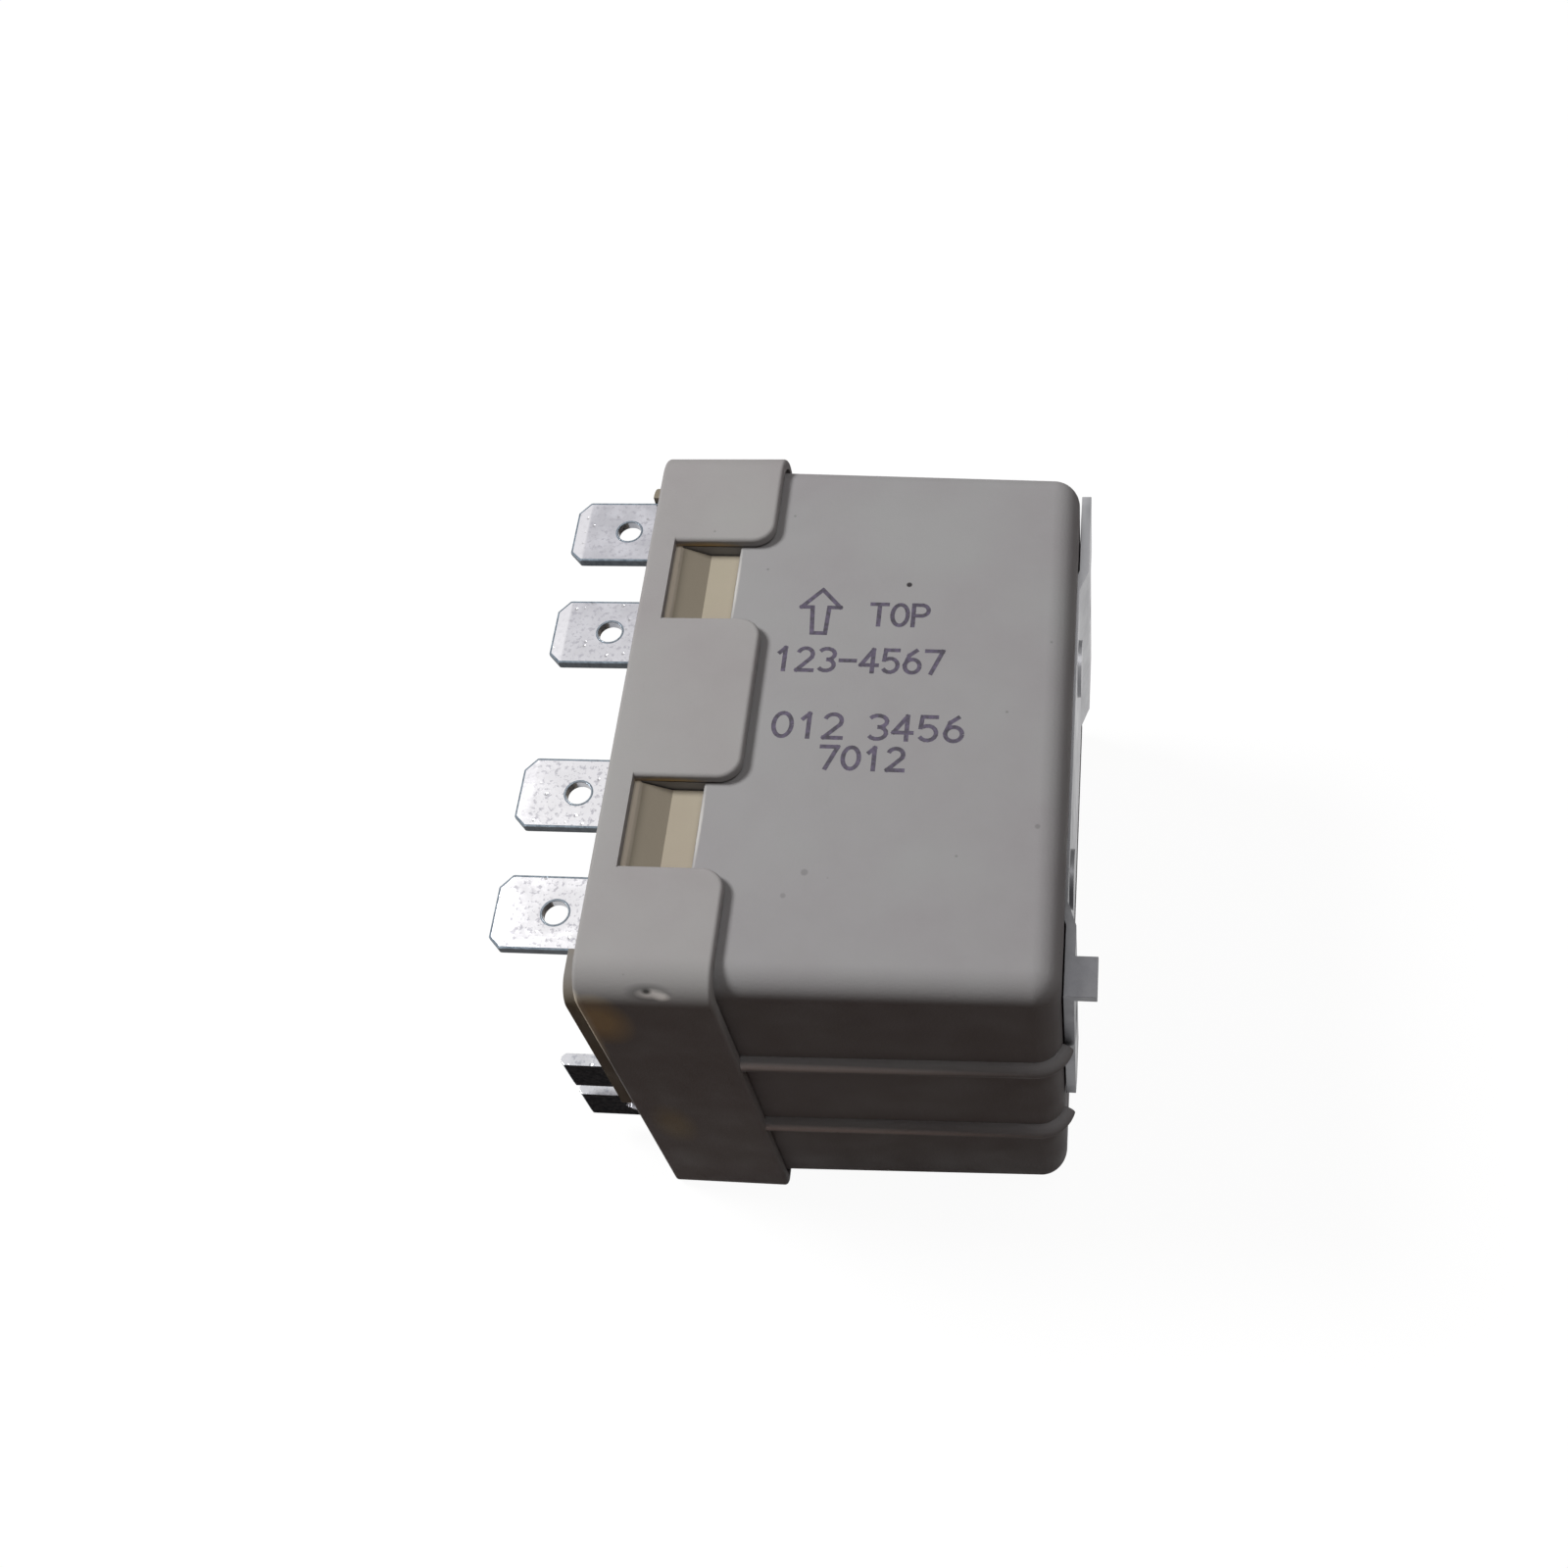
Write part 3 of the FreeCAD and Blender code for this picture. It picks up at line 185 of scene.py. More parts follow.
# Finishes
class Finish:
    """Node tree of one material, with short calls for the nodes that the finishes share."""

    def __init__(self, name, metallic=0.0, roughness=0.5, specular=0.5):
        self.material = bpy.data.materials.new(name)
        self.material.use_nodes = True
        self.tree = self.material.node_tree
        self.shader = self.tree.nodes["Principled BSDF"]
        self.shader.inputs["Metallic"].default_value = metallic
        self.shader.inputs["Roughness"].default_value = roughness
        self.shader.inputs["Specular IOR Level"].default_value = specular
        self.place = self.add("ShaderNodeTexCoord").outputs["Object"]

    def add(self, kind, inputs=None, **settings):
        """New node with its settings, its inputs given as values or linked from sockets."""
        node = self.tree.nodes.new(kind)
        for key, value in settings.items():
            setattr(node, key, value)
        for key, value in (inputs or {}).items():
            if isinstance(value, bpy.types.NodeSocket):
                self.tree.links.new(value, node.inputs[key])
            else:
                node.inputs[key].default_value = value
        return node

    def stretched(self, scale):
        """Object coordinates with another scale on each axis."""
        return self.add("ShaderNodeMapping", {"Vector": self.place, "Scale": scale}).outputs["Vector"]

    def noise(self, scale, detail=3.0, roughness=0.55, place=None):
        inputs = {"Vector": place or self.place, "Scale": scale, "Detail": detail, "Roughness": roughness}
        return self.add("ShaderNodeTexNoise", inputs).outputs["Fac"]

    def spread(self, value, low, high, to_low=0.0, to_high=1.0):
        """Stretch the range low to high of a value over another range."""
        inputs = {"Value": value, "From Min": low, "From Max": high, "To Min": to_low, "To Max": to_high}
        return self.add("ShaderNodeMapRange", inputs).outputs["Result"]

    def maths(self, operation, first, second):
        return self.add("ShaderNodeMath", {0: first, 1: second}, operation=operation).outputs[0]

    def mix(self, share, first, second):
        """First colour where the share is 0, second where it is 1."""
        node = self.add("ShaderNodeMix", data_type="RGBA")
        self.tree.links.new(share, node.inputs["Factor"])
        colours = [socket for socket in node.inputs if socket.type == "RGBA"]
        for socket, value in zip(colours, (first, second)):
            if isinstance(value, bpy.types.NodeSocket):
                self.tree.links.new(value, socket)
            else:
                socket.default_value = (*value, 1.0)
        return next(socket for socket in node.outputs if socket.type == "RGBA")

    def in_oval(self, spot, radii, soft=0.35):
        """1 inside an oval ball round one place, falling to 0 at its edge."""
        shrink = tuple(1.0 / radius for radius in radii)
        shift = tuple(-at * by for at, by in zip(spot, shrink))
        here = self.add("ShaderNodeMapping", {"Vector": self.place, "Scale": shrink, "Location": shift})
        gap = self.add("ShaderNodeVectorMath", {0: here.outputs["Vector"]}, operation="LENGTH")
        return self.spread(gap.outputs["Value"], 1.0 - soft, 1.0, 1.0, 0.0)

    def beyond(self, axis, start, end):
        """0 before one place along an axis, 1 after the other."""
        parts = self.add("ShaderNodeSeparateXYZ", {"Vector": self.place})
        return self.spread(parts.outputs[axis], start, end)

    def bump(self, height, distance, below=None):
        """Normal of a relief that is one distance high, laid over the relief below it."""
        inputs = {"Height": height, "Distance": distance}
        if below is not None:
            inputs["Normal"] = below
        return self.add("ShaderNodeBump", inputs).outputs["Normal"]

    def waves(self, inputs):
        """Bands that follow one another along Y."""
        inputs["Vector"] = self.place
        return self.add("ShaderNodeTexWave", inputs, bands_direction="Y").outputs["Fac"]

    def speckle(self, scale, core, edge, rare, common):
        """Round grains of one size, of which only the share above rare shows."""
        grains = self.add("ShaderNodeTexVoronoi", {"Vector": self.place, "Scale": scale})
        grain = self.spread(grains.outputs["Distance"], core, edge, 1.0, 0.0)
        chance = self.add("ShaderNodeSeparateColor", {"Color": grains.outputs["Color"]}).outputs["Red"]
        return self.maths("MULTIPLY", grain, self.spread(chance, rare, common))

    def set(self, colour, **sockets):
        """Link the finished colour and what else varies, and give the material."""
        self.tree.links.new(colour, self.shader.inputs["Base Color"])
        for name, value in sockets.items():
            self.tree.links.new(value, self.shader.inputs[name.capitalize()])
        return self.material


def shade(colour, factor, tint=(1.0, 1.0, 1.0)):
    """Colour made lighter or darker, and shifted towards a tint."""
    return tuple(min(1.0, part * factor * hue) for part, hue in zip(colour, tint))


def moulded(name, colour, specks=(), marks_and_painted_light=(), painted_shade_before=None):
    """Matt phenolic moulding: cloudy tint, filler grains, dark specks, a fine eroded texture, painted
    shade on the ramps, and oval patches of stain and of painted light and shade.
    """
    finish = Finish(name, roughness=0.62, specular=0.03)
    cloud = finish.spread(finish.noise(scale=95.0, detail=2.0), 0.32, 0.68)
    darker, lighter = shade(colour, 0.955, (1.015, 0.995, 1.0)), shade(colour, 1.045, (0.99, 1.005, 0.99))
    tone = finish.mix(cloud, darker, lighter)
    mottle = finish.spread(finish.noise(scale=520.0, detail=4.0), 0.3, 0.7)
    tone = finish.mix(finish.maths("MULTIPLY", mottle, 0.35), tone, shade(colour, 1.06, (1.0, 0.99, 1.0)))
    grain = finish.speckle(scale=640.0, core=0.03, edge=0.10, rare=0.90, common=0.92)
    tone = finish.mix(finish.maths("MULTIPLY", grain, 0.55), tone, shade(colour, 0.42))
    for spot, radii, share in specks:
        tone = finish.mix(finish.maths("MULTIPLY", finish.in_oval(spot, radii), share), tone, SPECK)
    # Painted shade: everything before one place along X, the window ramps, is darker
    if painted_shade_before is not None:
        darkened = finish.beyond("X", painted_shade_before + RAMP_BLUR, painted_shade_before - RAMP_BLUR)
        tone = finish.mix(darkened, tone, shade(colour, 0.72, (1.0, 0.99, 0.98)))
    # Oval patches: specks, stains and blemishes, and painted highlights, shadows and reflections
    for spot, radii, share, tint in marks_and_painted_light:
        oval = finish.in_oval(spot, radii, soft=0.7)
        tone = finish.mix(finish.maths("MULTIPLY", oval, share), tone, tint)
    waves = finish.bump(finish.noise(scale=170.0, detail=2.0), 0.030 * MM)
    normal = finish.bump(finish.noise(scale=4200.0, detail=2.0), 0.012 * MM, below=waves)
    rough = finish.spread(finish.noise(scale=240.0), 0.3, 0.7, 0.55, 0.70)
    return finish.set(tone, roughness=rough, normal=normal)


def plated(name, colour, patches, patch_scale, rough_low, rough_high, grain_along=(60.0, 900.0, 900.0),
           lighter_along_y=None):
    """Plating with cloudy patches and rolling marks; the last argument says from where to where along Y
    painted light makes it lighter, and how much."""
    finish = Finish(name, metallic=1.0, roughness=rough_low)
    cloud = finish.noise(patch_scale, detail=5.0, roughness=0.62)
    tone = finish.mix(finish.spread(cloud, 0.42, 0.60), shade(colour, 1.0 - patches), shade(colour, 1.0))
    tint = finish.spread(finish.noise(patch_scale * 0.35, detail=2.0), 0.35, 0.65)
    tone = finish.mix(finish.maths("MULTIPLY", tint, 0.35), tone, shade(colour, 0.97, (0.97, 0.96, 1.06)))
    # Painted light: lighter along Y, from the shaded lug to the lit ear
    if lighter_along_y is not None:
        start, end, gain = lighter_along_y
        tone = finish.mix(finish.beyond("Y", start, end), tone, shade(colour, gain))
    marks = finish.noise(scale=1.0, place=finish.stretched(grain_along))
    tone = finish.mix(finish.spread(marks, 0.55, 0.72, 0.0, 0.30), tone, shade(colour, 0.80))
    rough = finish.spread(cloud, 0.35, 0.65, rough_high, rough_low)
    normal = finish.bump(marks, 0.006 * MM, below=finish.bump(cloud, 0.020 * MM))
    return finish.set(tone, roughness=rough, normal=normal)


def tinned(name, colour):
    """Hot tinned sheet: bright film with clouds, spangles and pits, lighter towards -Y and with a painted
    highlight on the tip's bevel, dull where a face is bare cut metal, and painted dark shade and
    reflection on the upright blades' broad sides.
    """
    finish = Finish(name, metallic=1.0, roughness=0.15, specular=0.0)
    cloud = finish.noise(scale=420.0, detail=4.0, roughness=0.6)
    spangle = finish.noise(scale=2300.0, roughness=0.6)
    tone = finish.mix(finish.spread(cloud, 0.38, 0.62), shade(colour, 0.86), shade(colour, 1.08))
    # Tin lighter towards -Y
    lighter_along_y = finish.maths("MULTIPLY", finish.beyond("Y", TIN_DARKER_AT, TIN_LIGHTER_AT), 0.85)
    tone = finish.mix(lighter_along_y, tone, shade(colour, 1.42, (1.0, 0.995, 0.95)))
    flake = finish.spread(spangle, 0.53, 0.64, 0.0, 0.75)
    tone = finish.mix(flake, tone, shade(colour, 0.72, (1.0, 0.99, 1.02)))
    # Painted highlight on the tip's bevel
    bevel_end = box_of("terminal_1")[0].x + BEVEL_LENGTH
    bevel = finish.beyond("X", bevel_end + BEVEL_BLUR, bevel_end - BEVEL_BLUR)
    tone = finish.mix(finish.maths("MULTIPLY", bevel, 0.6), tone, shade(colour, 1.5, (1.0, 0.995, 0.96)))
    pit = finish.speckle(scale=1500.0, core=0.10, edge=0.26, rare=0.80, common=0.84)
    tone = finish.mix(finish.maths("MULTIPLY", pit, 0.65), tone, shade(colour, 0.45, (1.0, 0.98, 0.94)))
    # Marked faces get a dark tone: dull bare metal on cut sides, holes, rims, burrs and upper edges, and
    # painted dark shade and reflection on the upright blades' broad sides
    bare_and_shaded = finish.add("ShaderNodeAttribute", attribute_name=BARE_AND_SHADED).outputs["Fac"]
    darkened = finish.mix(finish.spread(spangle, 0.40, 0.60), (0.110, 0.145, 0.180), (0.195, 0.245, 0.290))
    tone = finish.mix(bare_and_shaded, tone, darkened)
    metallic = finish.spread(bare_and_shaded, 0.0, 1.0, 1.0, 0.0)
    rough = finish.spread(cloud, 0.35, 0.65, 0.19, 0.13)
    normal = finish.bump(pit, -0.02 * MM, below=finish.bump(spangle, 0.010 * MM))
    return finish.set(tone, roughness=rough, normal=normal, metallic=metallic)


def enamelled(name, colour):
    """Fine wire lying turn by turn round the Y axis."""
    finish = Finish(name, roughness=0.28)
    turns = finish.waves({"Scale": 1900.0, "Distortion": 0.6, "Detail": 1.0, "Detail Scale": 0.4})
    tone = finish.mix(turns, shade(colour, 0.45), shade(colour, 1.15))
    return finish.set(tone, normal=finish.bump(turns, 0.05 * MM))


def filmed(name, colour):
    """Clear amber tape with overlaps and small creases."""
    finish = Finish(name, roughness=0.25)
    wraps = finish.waves({"Scale": 70.0, "Distortion": 1.2})
    tone = finish.mix(finish.spread(wraps, 0.8, 1.0), colour, shade(colour, 0.72))
    return finish.set(tone, normal=finish.bump(finish.noise(scale=420.0, detail=4.0), 0.04 * MM))


def nylon(name, colour):
    """Natural nylon with a soft cloud and a faint orange peel."""
    finish = Finish(name, roughness=0.42, specular=0.4)
    cloud = finish.spread(finish.noise(scale=160.0), 0.3, 0.7)
    tone = finish.mix(cloud, shade(colour, 0.92), shade(colour, 1.05, (1.0, 1.0, 0.97)))
    return finish.set(tone, normal=finish.bump(finish.noise(scale=900.0), 0.02 * MM))


def inked(name, colour):
    """Thin pad print with slightly uneven cover."""
    finish = Finish(name, roughness=0.55, specular=0.3)
    cover = finish.spread(finish.noise(scale=2600.0), 0.35, 0.7)
    return finish.set(finish.mix(cover, colour, shade(colour, 2.4, (1.0, 0.92, 1.1))))


def patch(middle, radii, *rest):
    """Oval patch of a moulding, given in millimetres, with its share and its tint."""
    return tuple(at * MM for at in middle), tuple(reach * MM for reach in radii), *rest


def cover_marks_and_painted_light():
    """Painted warm reflection on the wall, gate scar, painted highlight on the rim and painted warm shade
    under the tongues of the terminal cover.
    """
    low = box_of("terminal_cover")[0] / MM
    marks_and_painted_light = [patch((-13.7, low.y, 36.3), (2.8, 0.9, 4.6), 0.75, WARM_REFLECTION),
              patch((-12.1, low.y, 15.2), (2.1, 0.8, 4.6), 0.42, FAINT_WARM_REFLECTION),
              patch((-9.2, -25.05, 40.5), (1.9, 0.8, 0.9), 0.75, GATE_RING),
              patch((-9.0, -25.1, 40.4), (1.3, 0.5, 0.55), 0.95, GATE_SCAR),
              patch((-9.3, -25.0, 40.6), (0.50, 0.35, 0.35), 0.95, GATE_PIT),
              patch((-8.2, -25.2, 40.2), (0.75, 0.45, 0.45), 0.95, GATE_CHIP),
              patch((low.x, low.y, 35.5), (0.75, 0.9, 8.0), 0.95, RIM_HIGHLIGHT)]
    return marks_and_painted_light + [patch((-10.3, edge, 40.8), (3.6, 0.4, 0.8), 0.8, WARM_SHADE_UNDER_TONGUE) for edge in (15.2, -7.6)]


def carrier_marks_and_painted_light():
    """Greyed raised block, a painted highlight along the top edge of each ramp and a painted shadow at
    the far end of each window floor, on the carrier.
    """
    front = box_of("terminal_cover")[0].x / MM
    marks_and_painted_light = [patch((front - 1.2, -22.2, 38.8), (1.8, 3.0, 2.6), 0.90, GREYED)]
    marks_and_painted_light += [patch((-7.5, side, 40.2), (0.16, 4.2, 1.2), 0.65, NOTCH_FOOT_SHADOW) for side in WINDOW_MIDDLES]
    marks_and_painted_light += [patch((-12.50, side, 40.9), (0.42, 14.0, 1.2), 0.80, RAMP_RIM_HIGHLIGHT) for side in WINDOW_MIDDLES]
    return marks_and_painted_light


def housing_marks_and_painted_light():
    """Mark beside the upper bead, painted highlights on the notches' edges and on the bead crests' upper
    flanks of the housing.
    """
    marks_and_painted_light = [patch((1.58, -25.1, 14.30), (0.28, 0.6, 0.34), 0.8, BEAD_MARK)]
    marks_and_painted_light += [patch((-7.2, side, 40.8), (0.20, 4.2, 0.6), 0.75, NOTCH_EDGE_HIGHLIGHT) for side in WINDOW_MIDDLES]
    for crest in BEAD_CRESTS:
        for side in (-25.4, 25.4):
            marks_and_painted_light.append(patch((5.0, side, crest), (30.0, 0.55, 0.50), 0.9, CREST_HIGHLIGHT))
    return marks_and_painted_light


def speck_on_face(x, y, radius, share):
    """Dark speck on the printed face."""
    return patch((x, y, 40.4), (radius, radius, 1.0), share)


FINISHES = {}


def make_finishes(colours):
    """Every finish once, under the name of the record's material slot."""
    specks = [speck_on_face(6.98, 11.82, 0.28, 0.95), speck_on_face(1.21, -14.91, 0.34, 0.26),
              speck_on_face(-0.18, -16.92, 0.26, 0.22), speck_on_face(18.28, -10.3, 0.24, 0.28)]
    FINISHES.update({
        "housing_phenolic": moulded("housing_phenolic", colours.housing, specks, housing_marks_and_painted_light()),
        "cover_phenolic": moulded("cover_phenolic", colours.cover, marks_and_painted_light=cover_marks_and_painted_light()),
        "carrier_plastic": moulded("carrier_plastic", colours.carrier, marks_and_painted_light=carrier_marks_and_painted_light(),
                                   painted_shade_before=RAMP_END),
        "tinned_brass": tinned("tinned_brass", colours.tin),
        "plated_steel": plated("plated_steel", colours.zinc, 0.18, 300.0, 0.30, 0.45,
                               grain_along=(900.0, 60.0, 900.0), lighter_along_y=PLATE_PAINTED_LIGHT),
        "soft_iron": plated("soft_iron", (0.42, 0.41, 0.41), 0.22, 260.0, 0.42, 0.58),
        "spring_steel": plated("spring_steel", (0.36, 0.36, 0.38), 0.12, 500.0, 0.25, 0.36),
        "contact_bronze": plated("contact_bronze", (0.72, 0.45, 0.24), 0.14, 350.0, 0.26, 0.38),
        "contact_silver": plated("contact_silver", (0.84, 0.83, 0.82), 0.10, 450.0, 0.20, 0.32),
        "bobbin_nylon": nylon("bobbin_nylon", (0.56, 0.53, 0.44)),
        "lead_wire": nylon("lead_wire", (0.30, 0.07, 0.03)),
        "enamelled_wire": enamelled("enamelled_wire", (0.40, 0.11, 0.03)),
        "coil_tape": filmed("coil_tape", (0.62, 0.42, 0.08)),
        "ink": inked("print_ink", colours.ink),
    })


def dress(thing, finish):
    """Give an object one finish and no other."""
    thing.data.materials.clear()
    thing.data.materials.append(FINISHES[finish])
    return thing


# Pieces
def settle(bm, name, finish, body=RELAY, smooth_under=30.0, closed=True):
    """Make a shaped bmesh into a finished piece that rides on its body."""
    bmesh.ops.remove_doubles(bm, verts=bm.verts, dist=WELD)
    if closed:
        bmesh.ops.recalc_face_normals(bm, faces=bm.faces)
    mark_edges(bm, smooth_under)
    mesh = bpy.data.meshes.new(name)
    bm.to_mesh(mesh)
    bm.free()
    thing = bpy.data.objects.new(name, mesh)
    bpy.context.scene.collection.objects.link(thing)
    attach(thing, body)
    return dress(thing, finish)


def mark_edges(bm, smooth_under):
    """Shade all faces smooth and keep the edges sharp that turn further than an angle."""
    limit = math.radians(smooth_under)
    for face in bm.faces:
        face.smooth = True
    for edge in bm.edges:
        edge.smooth = len(edge.link_faces) == 2 and edge.calc_face_angle(0.0) < limit


def solid_copy(node, name, finish, edge_width, segments=3, smooth_under=28.0, shape=None):
    """Merged copy of a CAD node with softened edges, which stands for that node."""
    bm = bmesh.new()
    bm.from_mesh(frame["nodes"][node].data)
    bmesh.ops.remove_doubles(bm, verts=bm.verts, dist=CAD_WELD)
    bmesh.ops.dissolve_limit(bm, angle_limit=FLAT_ANGLE, verts=bm.verts, edges=bm.edges,
                             delimit={"NORMAL"})
    if shape is not None:
        shape(bm)
    thing = settle(bm, name, finish, smooth_under=smooth_under, closed=False)
    if edge_width > 0.0:
        bevel = thing.modifiers.new("edges", "BEVEL")
        bevel.width = edge_width
        bevel.segments = segments
        bevel.limit_method = "ANGLE"
        bevel.angle_limit = BEVEL_ANGLE
        bevel.use_clamp_overlap = True
        bevel.harden_normals = True
    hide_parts(node)
    return thing


class RELAY_OT_finishes(bpy.types.Operator):
    """Make the relay's finishes and lay them on every solid"""
    bl_idname = "relay.finishes"
    bl_label = "Finishes"

    def execute(self, context):
        make_finishes(context.scene.relay_colours)
        slots = {part["node"]: part["material_slot"] for part in frame["record"]["subparts"]}
        for node, thing in frame["nodes"].items():
            dress(thing, slots[node])
        return {"FINISHED"}


class RELAY_OT_mouldings(bpy.types.Operator):
    """Soften the edges of the housing, the cover and the carrier"""
    bl_idname = "relay.mouldings"
    bl_label = "Mouldings"

    def execute(self, context):
        edge = context.scene.relay_sizes.moulded_edge
        solid_copy("housing", "housing_moulding", "housing_phenolic", edge)
        solid_copy("terminal_cover", "cover_moulding", "cover_phenolic", 0.0)
        solid_copy("terminal_carrier", "carrier_moulding", "carrier_plastic", edge * CARRIER_SHARE,
                   smooth_under=RAMP_ANGLE)
        return {"FINISHED"}


def arc(x, y, radius_x, radius_y, begin, end, steps):
    """Points along part of an oval, with the angles in degrees."""
    turns = [math.radians(begin + (end - begin) * index / steps) for index in range(steps + 1)]
    return [(x + radius_x * math.cos(turn), y + radius_y * math.sin(turn)) for turn in turns]


def hole_middle(corners):
    """Middle of a flat blade's hole, worked out from the blade's tip."""
    tip = min(corner.co.x for corner in corners)
    across = [corner.co.y for corner in corners if corner.co.x < tip + BEVEL_LENGTH]
    return Vector((tip + HOLE_BACK, (min(across) + max(across)) / 2))


class RELAY_OT_blades(bpy.types.Operator):
    """Wear the edges of the six blades and raise the burr round each punched hole"""
    bl_idname = "relay.blades"
    bl_label = "Blades"

    def execute(self, context):
        sizes = context.scene.relay_sizes
        for number in range(1, BLADES + 1):
            flat = number <= FLAT_BLADES
            node = f"terminal_{number}"
            solid_copy(node, f"blade_{number}", "tinned_brass", sizes.sheet_edge, segments=2,
                       shape=self.wear_flat if flat else self.wear_upright)
            if flat:
                spot = hole_middle(frame["nodes"][node].data.vertices)
                self.raise_burr(f"hole_burr_{number}", spot, box_of(node)[1].z, sizes.burr)
        return {"FINISHED"}

    @staticmethod
    def wear_flat(bm):
        """Mark the cut sides of a flat blade and inset a dull rim round its upper side."""
        marks = bm.faces.layers.float.new(BARE_AND_SHADED)
        hole = hole_middle(bm.verts)
        for face in bm.faces:
            if abs(face.normal.z) < FACING:
                in_hole = (face.calc_center_median().xy - hole).length < HOLE_WALL
                face[marks] = HOLE_SHARE if in_hole else SIDE_SHARE
        heights = [corner.co.z for corner in bm.verts]
        middle = (min(heights) + max(heights)) / 2
        upper = [face for face in bm.faces
                 if face.normal.z > FACING and face.calc_center_median().z > middle]
        rim = bmesh.ops.inset_region(bm, faces=upper, thickness=RIM_WIDTH, use_even_offset=True,
                                     use_boundary=True)["faces"]
        for face in rim:
            face[marks] = RIM_SHARE

    @staticmethod
    def wear_upright(bm):
        """Mark the shaded broad side of an upright blade for painted dark shade and reflection, and its
        upper edge less.
        """
        marks = bm.faces.layers.float.new(BARE_AND_SHADED)
        for face in bm.faces:
            if face.normal.y < -FACING:
                face[marks] = 1.0
            elif face.normal.z > FACING:
                face[marks] = TOP_SHARE

    @staticmethod
    def raise_burr(name, spot, top, height):
        """Rolled ring round the hole, half sunk in the blade's upper face."""
        bm = bmesh.new()
        marks = bm.faces.layers.float.new(BARE_AND_SHADED)
        section = arc(HOLE_RADIUS + height, top - height * BURR_SUNK, height, height, 0, 360, BURR_SIDES)
        rings = []
        for step in range(BURR_STEPS):
            turn = math.tau * step / BURR_STEPS
            way = Vector((math.cos(turn), math.sin(turn)))
            rings.append([bm.verts.new((*(spot + way * reach), z)) for reach, z in section[1:]])
        for here, there in zip(rings, rings[1:] + rings[:1]):
            for side in range(BURR_SIDES):
                face = bm.faces.new((here[side - 1], there[side - 1], there[side], here[side]))
                face[marks] = SIDE_SHARE
        settle(bm, name, "tinned_brass", smooth_under=80.0)


class RELAY_OT_plate(bpy.types.Operator):
    """Wear the edges of the mounting plate"""
    bl_idname = "relay.plate"
    bl_label = "Mounting plate"

    def execute(self, context):
        edge = context.scene.relay_sizes.sheet_edge
        solid_copy("mounting_plate", "rear_plate", "plated_steel", edge, segments=2)
        return {"FINISHED"}


# Print: the share of a line's width that a straight stroke reaches past its ends, the arrow's corners,
# each row's text with the x and y of its lower left corner and its letters' width, height and pitch,
# from what height and which way the face is looked for, and how little a stroke's underside rises
END_REACH = 0.45
ARROW = ((0.0, 11.12), (1.58, 9.38), (0.66, 9.38), (0.56, 6.82), (-0.52, 6.82), (-0.70, 9.38),
         (-1.60, 9.38))
ROWS = (("TOP", 4.14, 7.75, 1.25, 2.05, 1.70), ("123-4567", -3.15, 3.20, 1.28, 2.12, 1.72),
        ("012", -2.60, -3.05, 1.42, 2.16, 1.98), ("3456", 4.85, -3.05, 1.42, 2.16, 1.98),
        ("7012", 1.40, -5.82, 1.25, 1.95, 1.72))
ABOVE_ALL = 1.0
DOWN = Vector((0.0, 0.0, -1.0))
UNDERSIDE = 0.2


def stroke(bm, points, width, height, face):
    """Printed line through points on a moulding's upper face, as a flat ribbon just above it."""
    if len(points) == 2:
        first, second = Vector(points[0]), Vector(points[1])
        reach = (second - first).normalized() * width * END_REACH
        points = [first - reach, second + reach]
    curve = bpy.data.curves.new("stroke", "CURVE")
    curve.dimensions = "3D"
    curve.bevel_depth = width / 2
    curve.bevel_resolution = 2
    curve.use_fill_caps = True
    spline = curve.splines.new("POLY")
    spline.points.add(len(points) - 1)
    for point, (x, y) in zip(spline.points, points):
        point.co = (x, y, 0.0, 1.0)
    holder = bpy.data.objects.new("stroke", curve)
    bpy.context.scene.collection.objects.link(holder)
    bpy.context.view_layer.update()
    mesh = bpy.data.meshes.new_from_object(holder.evaluated_get(bpy.context.evaluated_depsgraph_get()))
    ribbon = bmesh.new()
    ribbon.from_mesh(mesh)
    under = [side for side in ribbon.faces if side.normal.z < UNDERSIDE]
    bmesh.ops.delete(ribbon, geom=under, context="FACES")
    for corner in ribbon.verts:
        hit = face.ray_cast(Vector((corner.co.x, corner.co.y, ABOVE_ALL)), DOWN)
        corner.co.z = hit[0].z + height
    ribbon.to_mesh(mesh)
    ribbon.free()
    bm.from_mesh(mesh)
    bpy.data.objects.remove(holder)
    bpy.data.curves.remove(curve)
    bpy.data.meshes.remove(mesh)


def lines(*points):
    """One straight stroke between each two neighbours of a run of points."""
    return [[first, second] for first, second in zip(points, points[1:])]


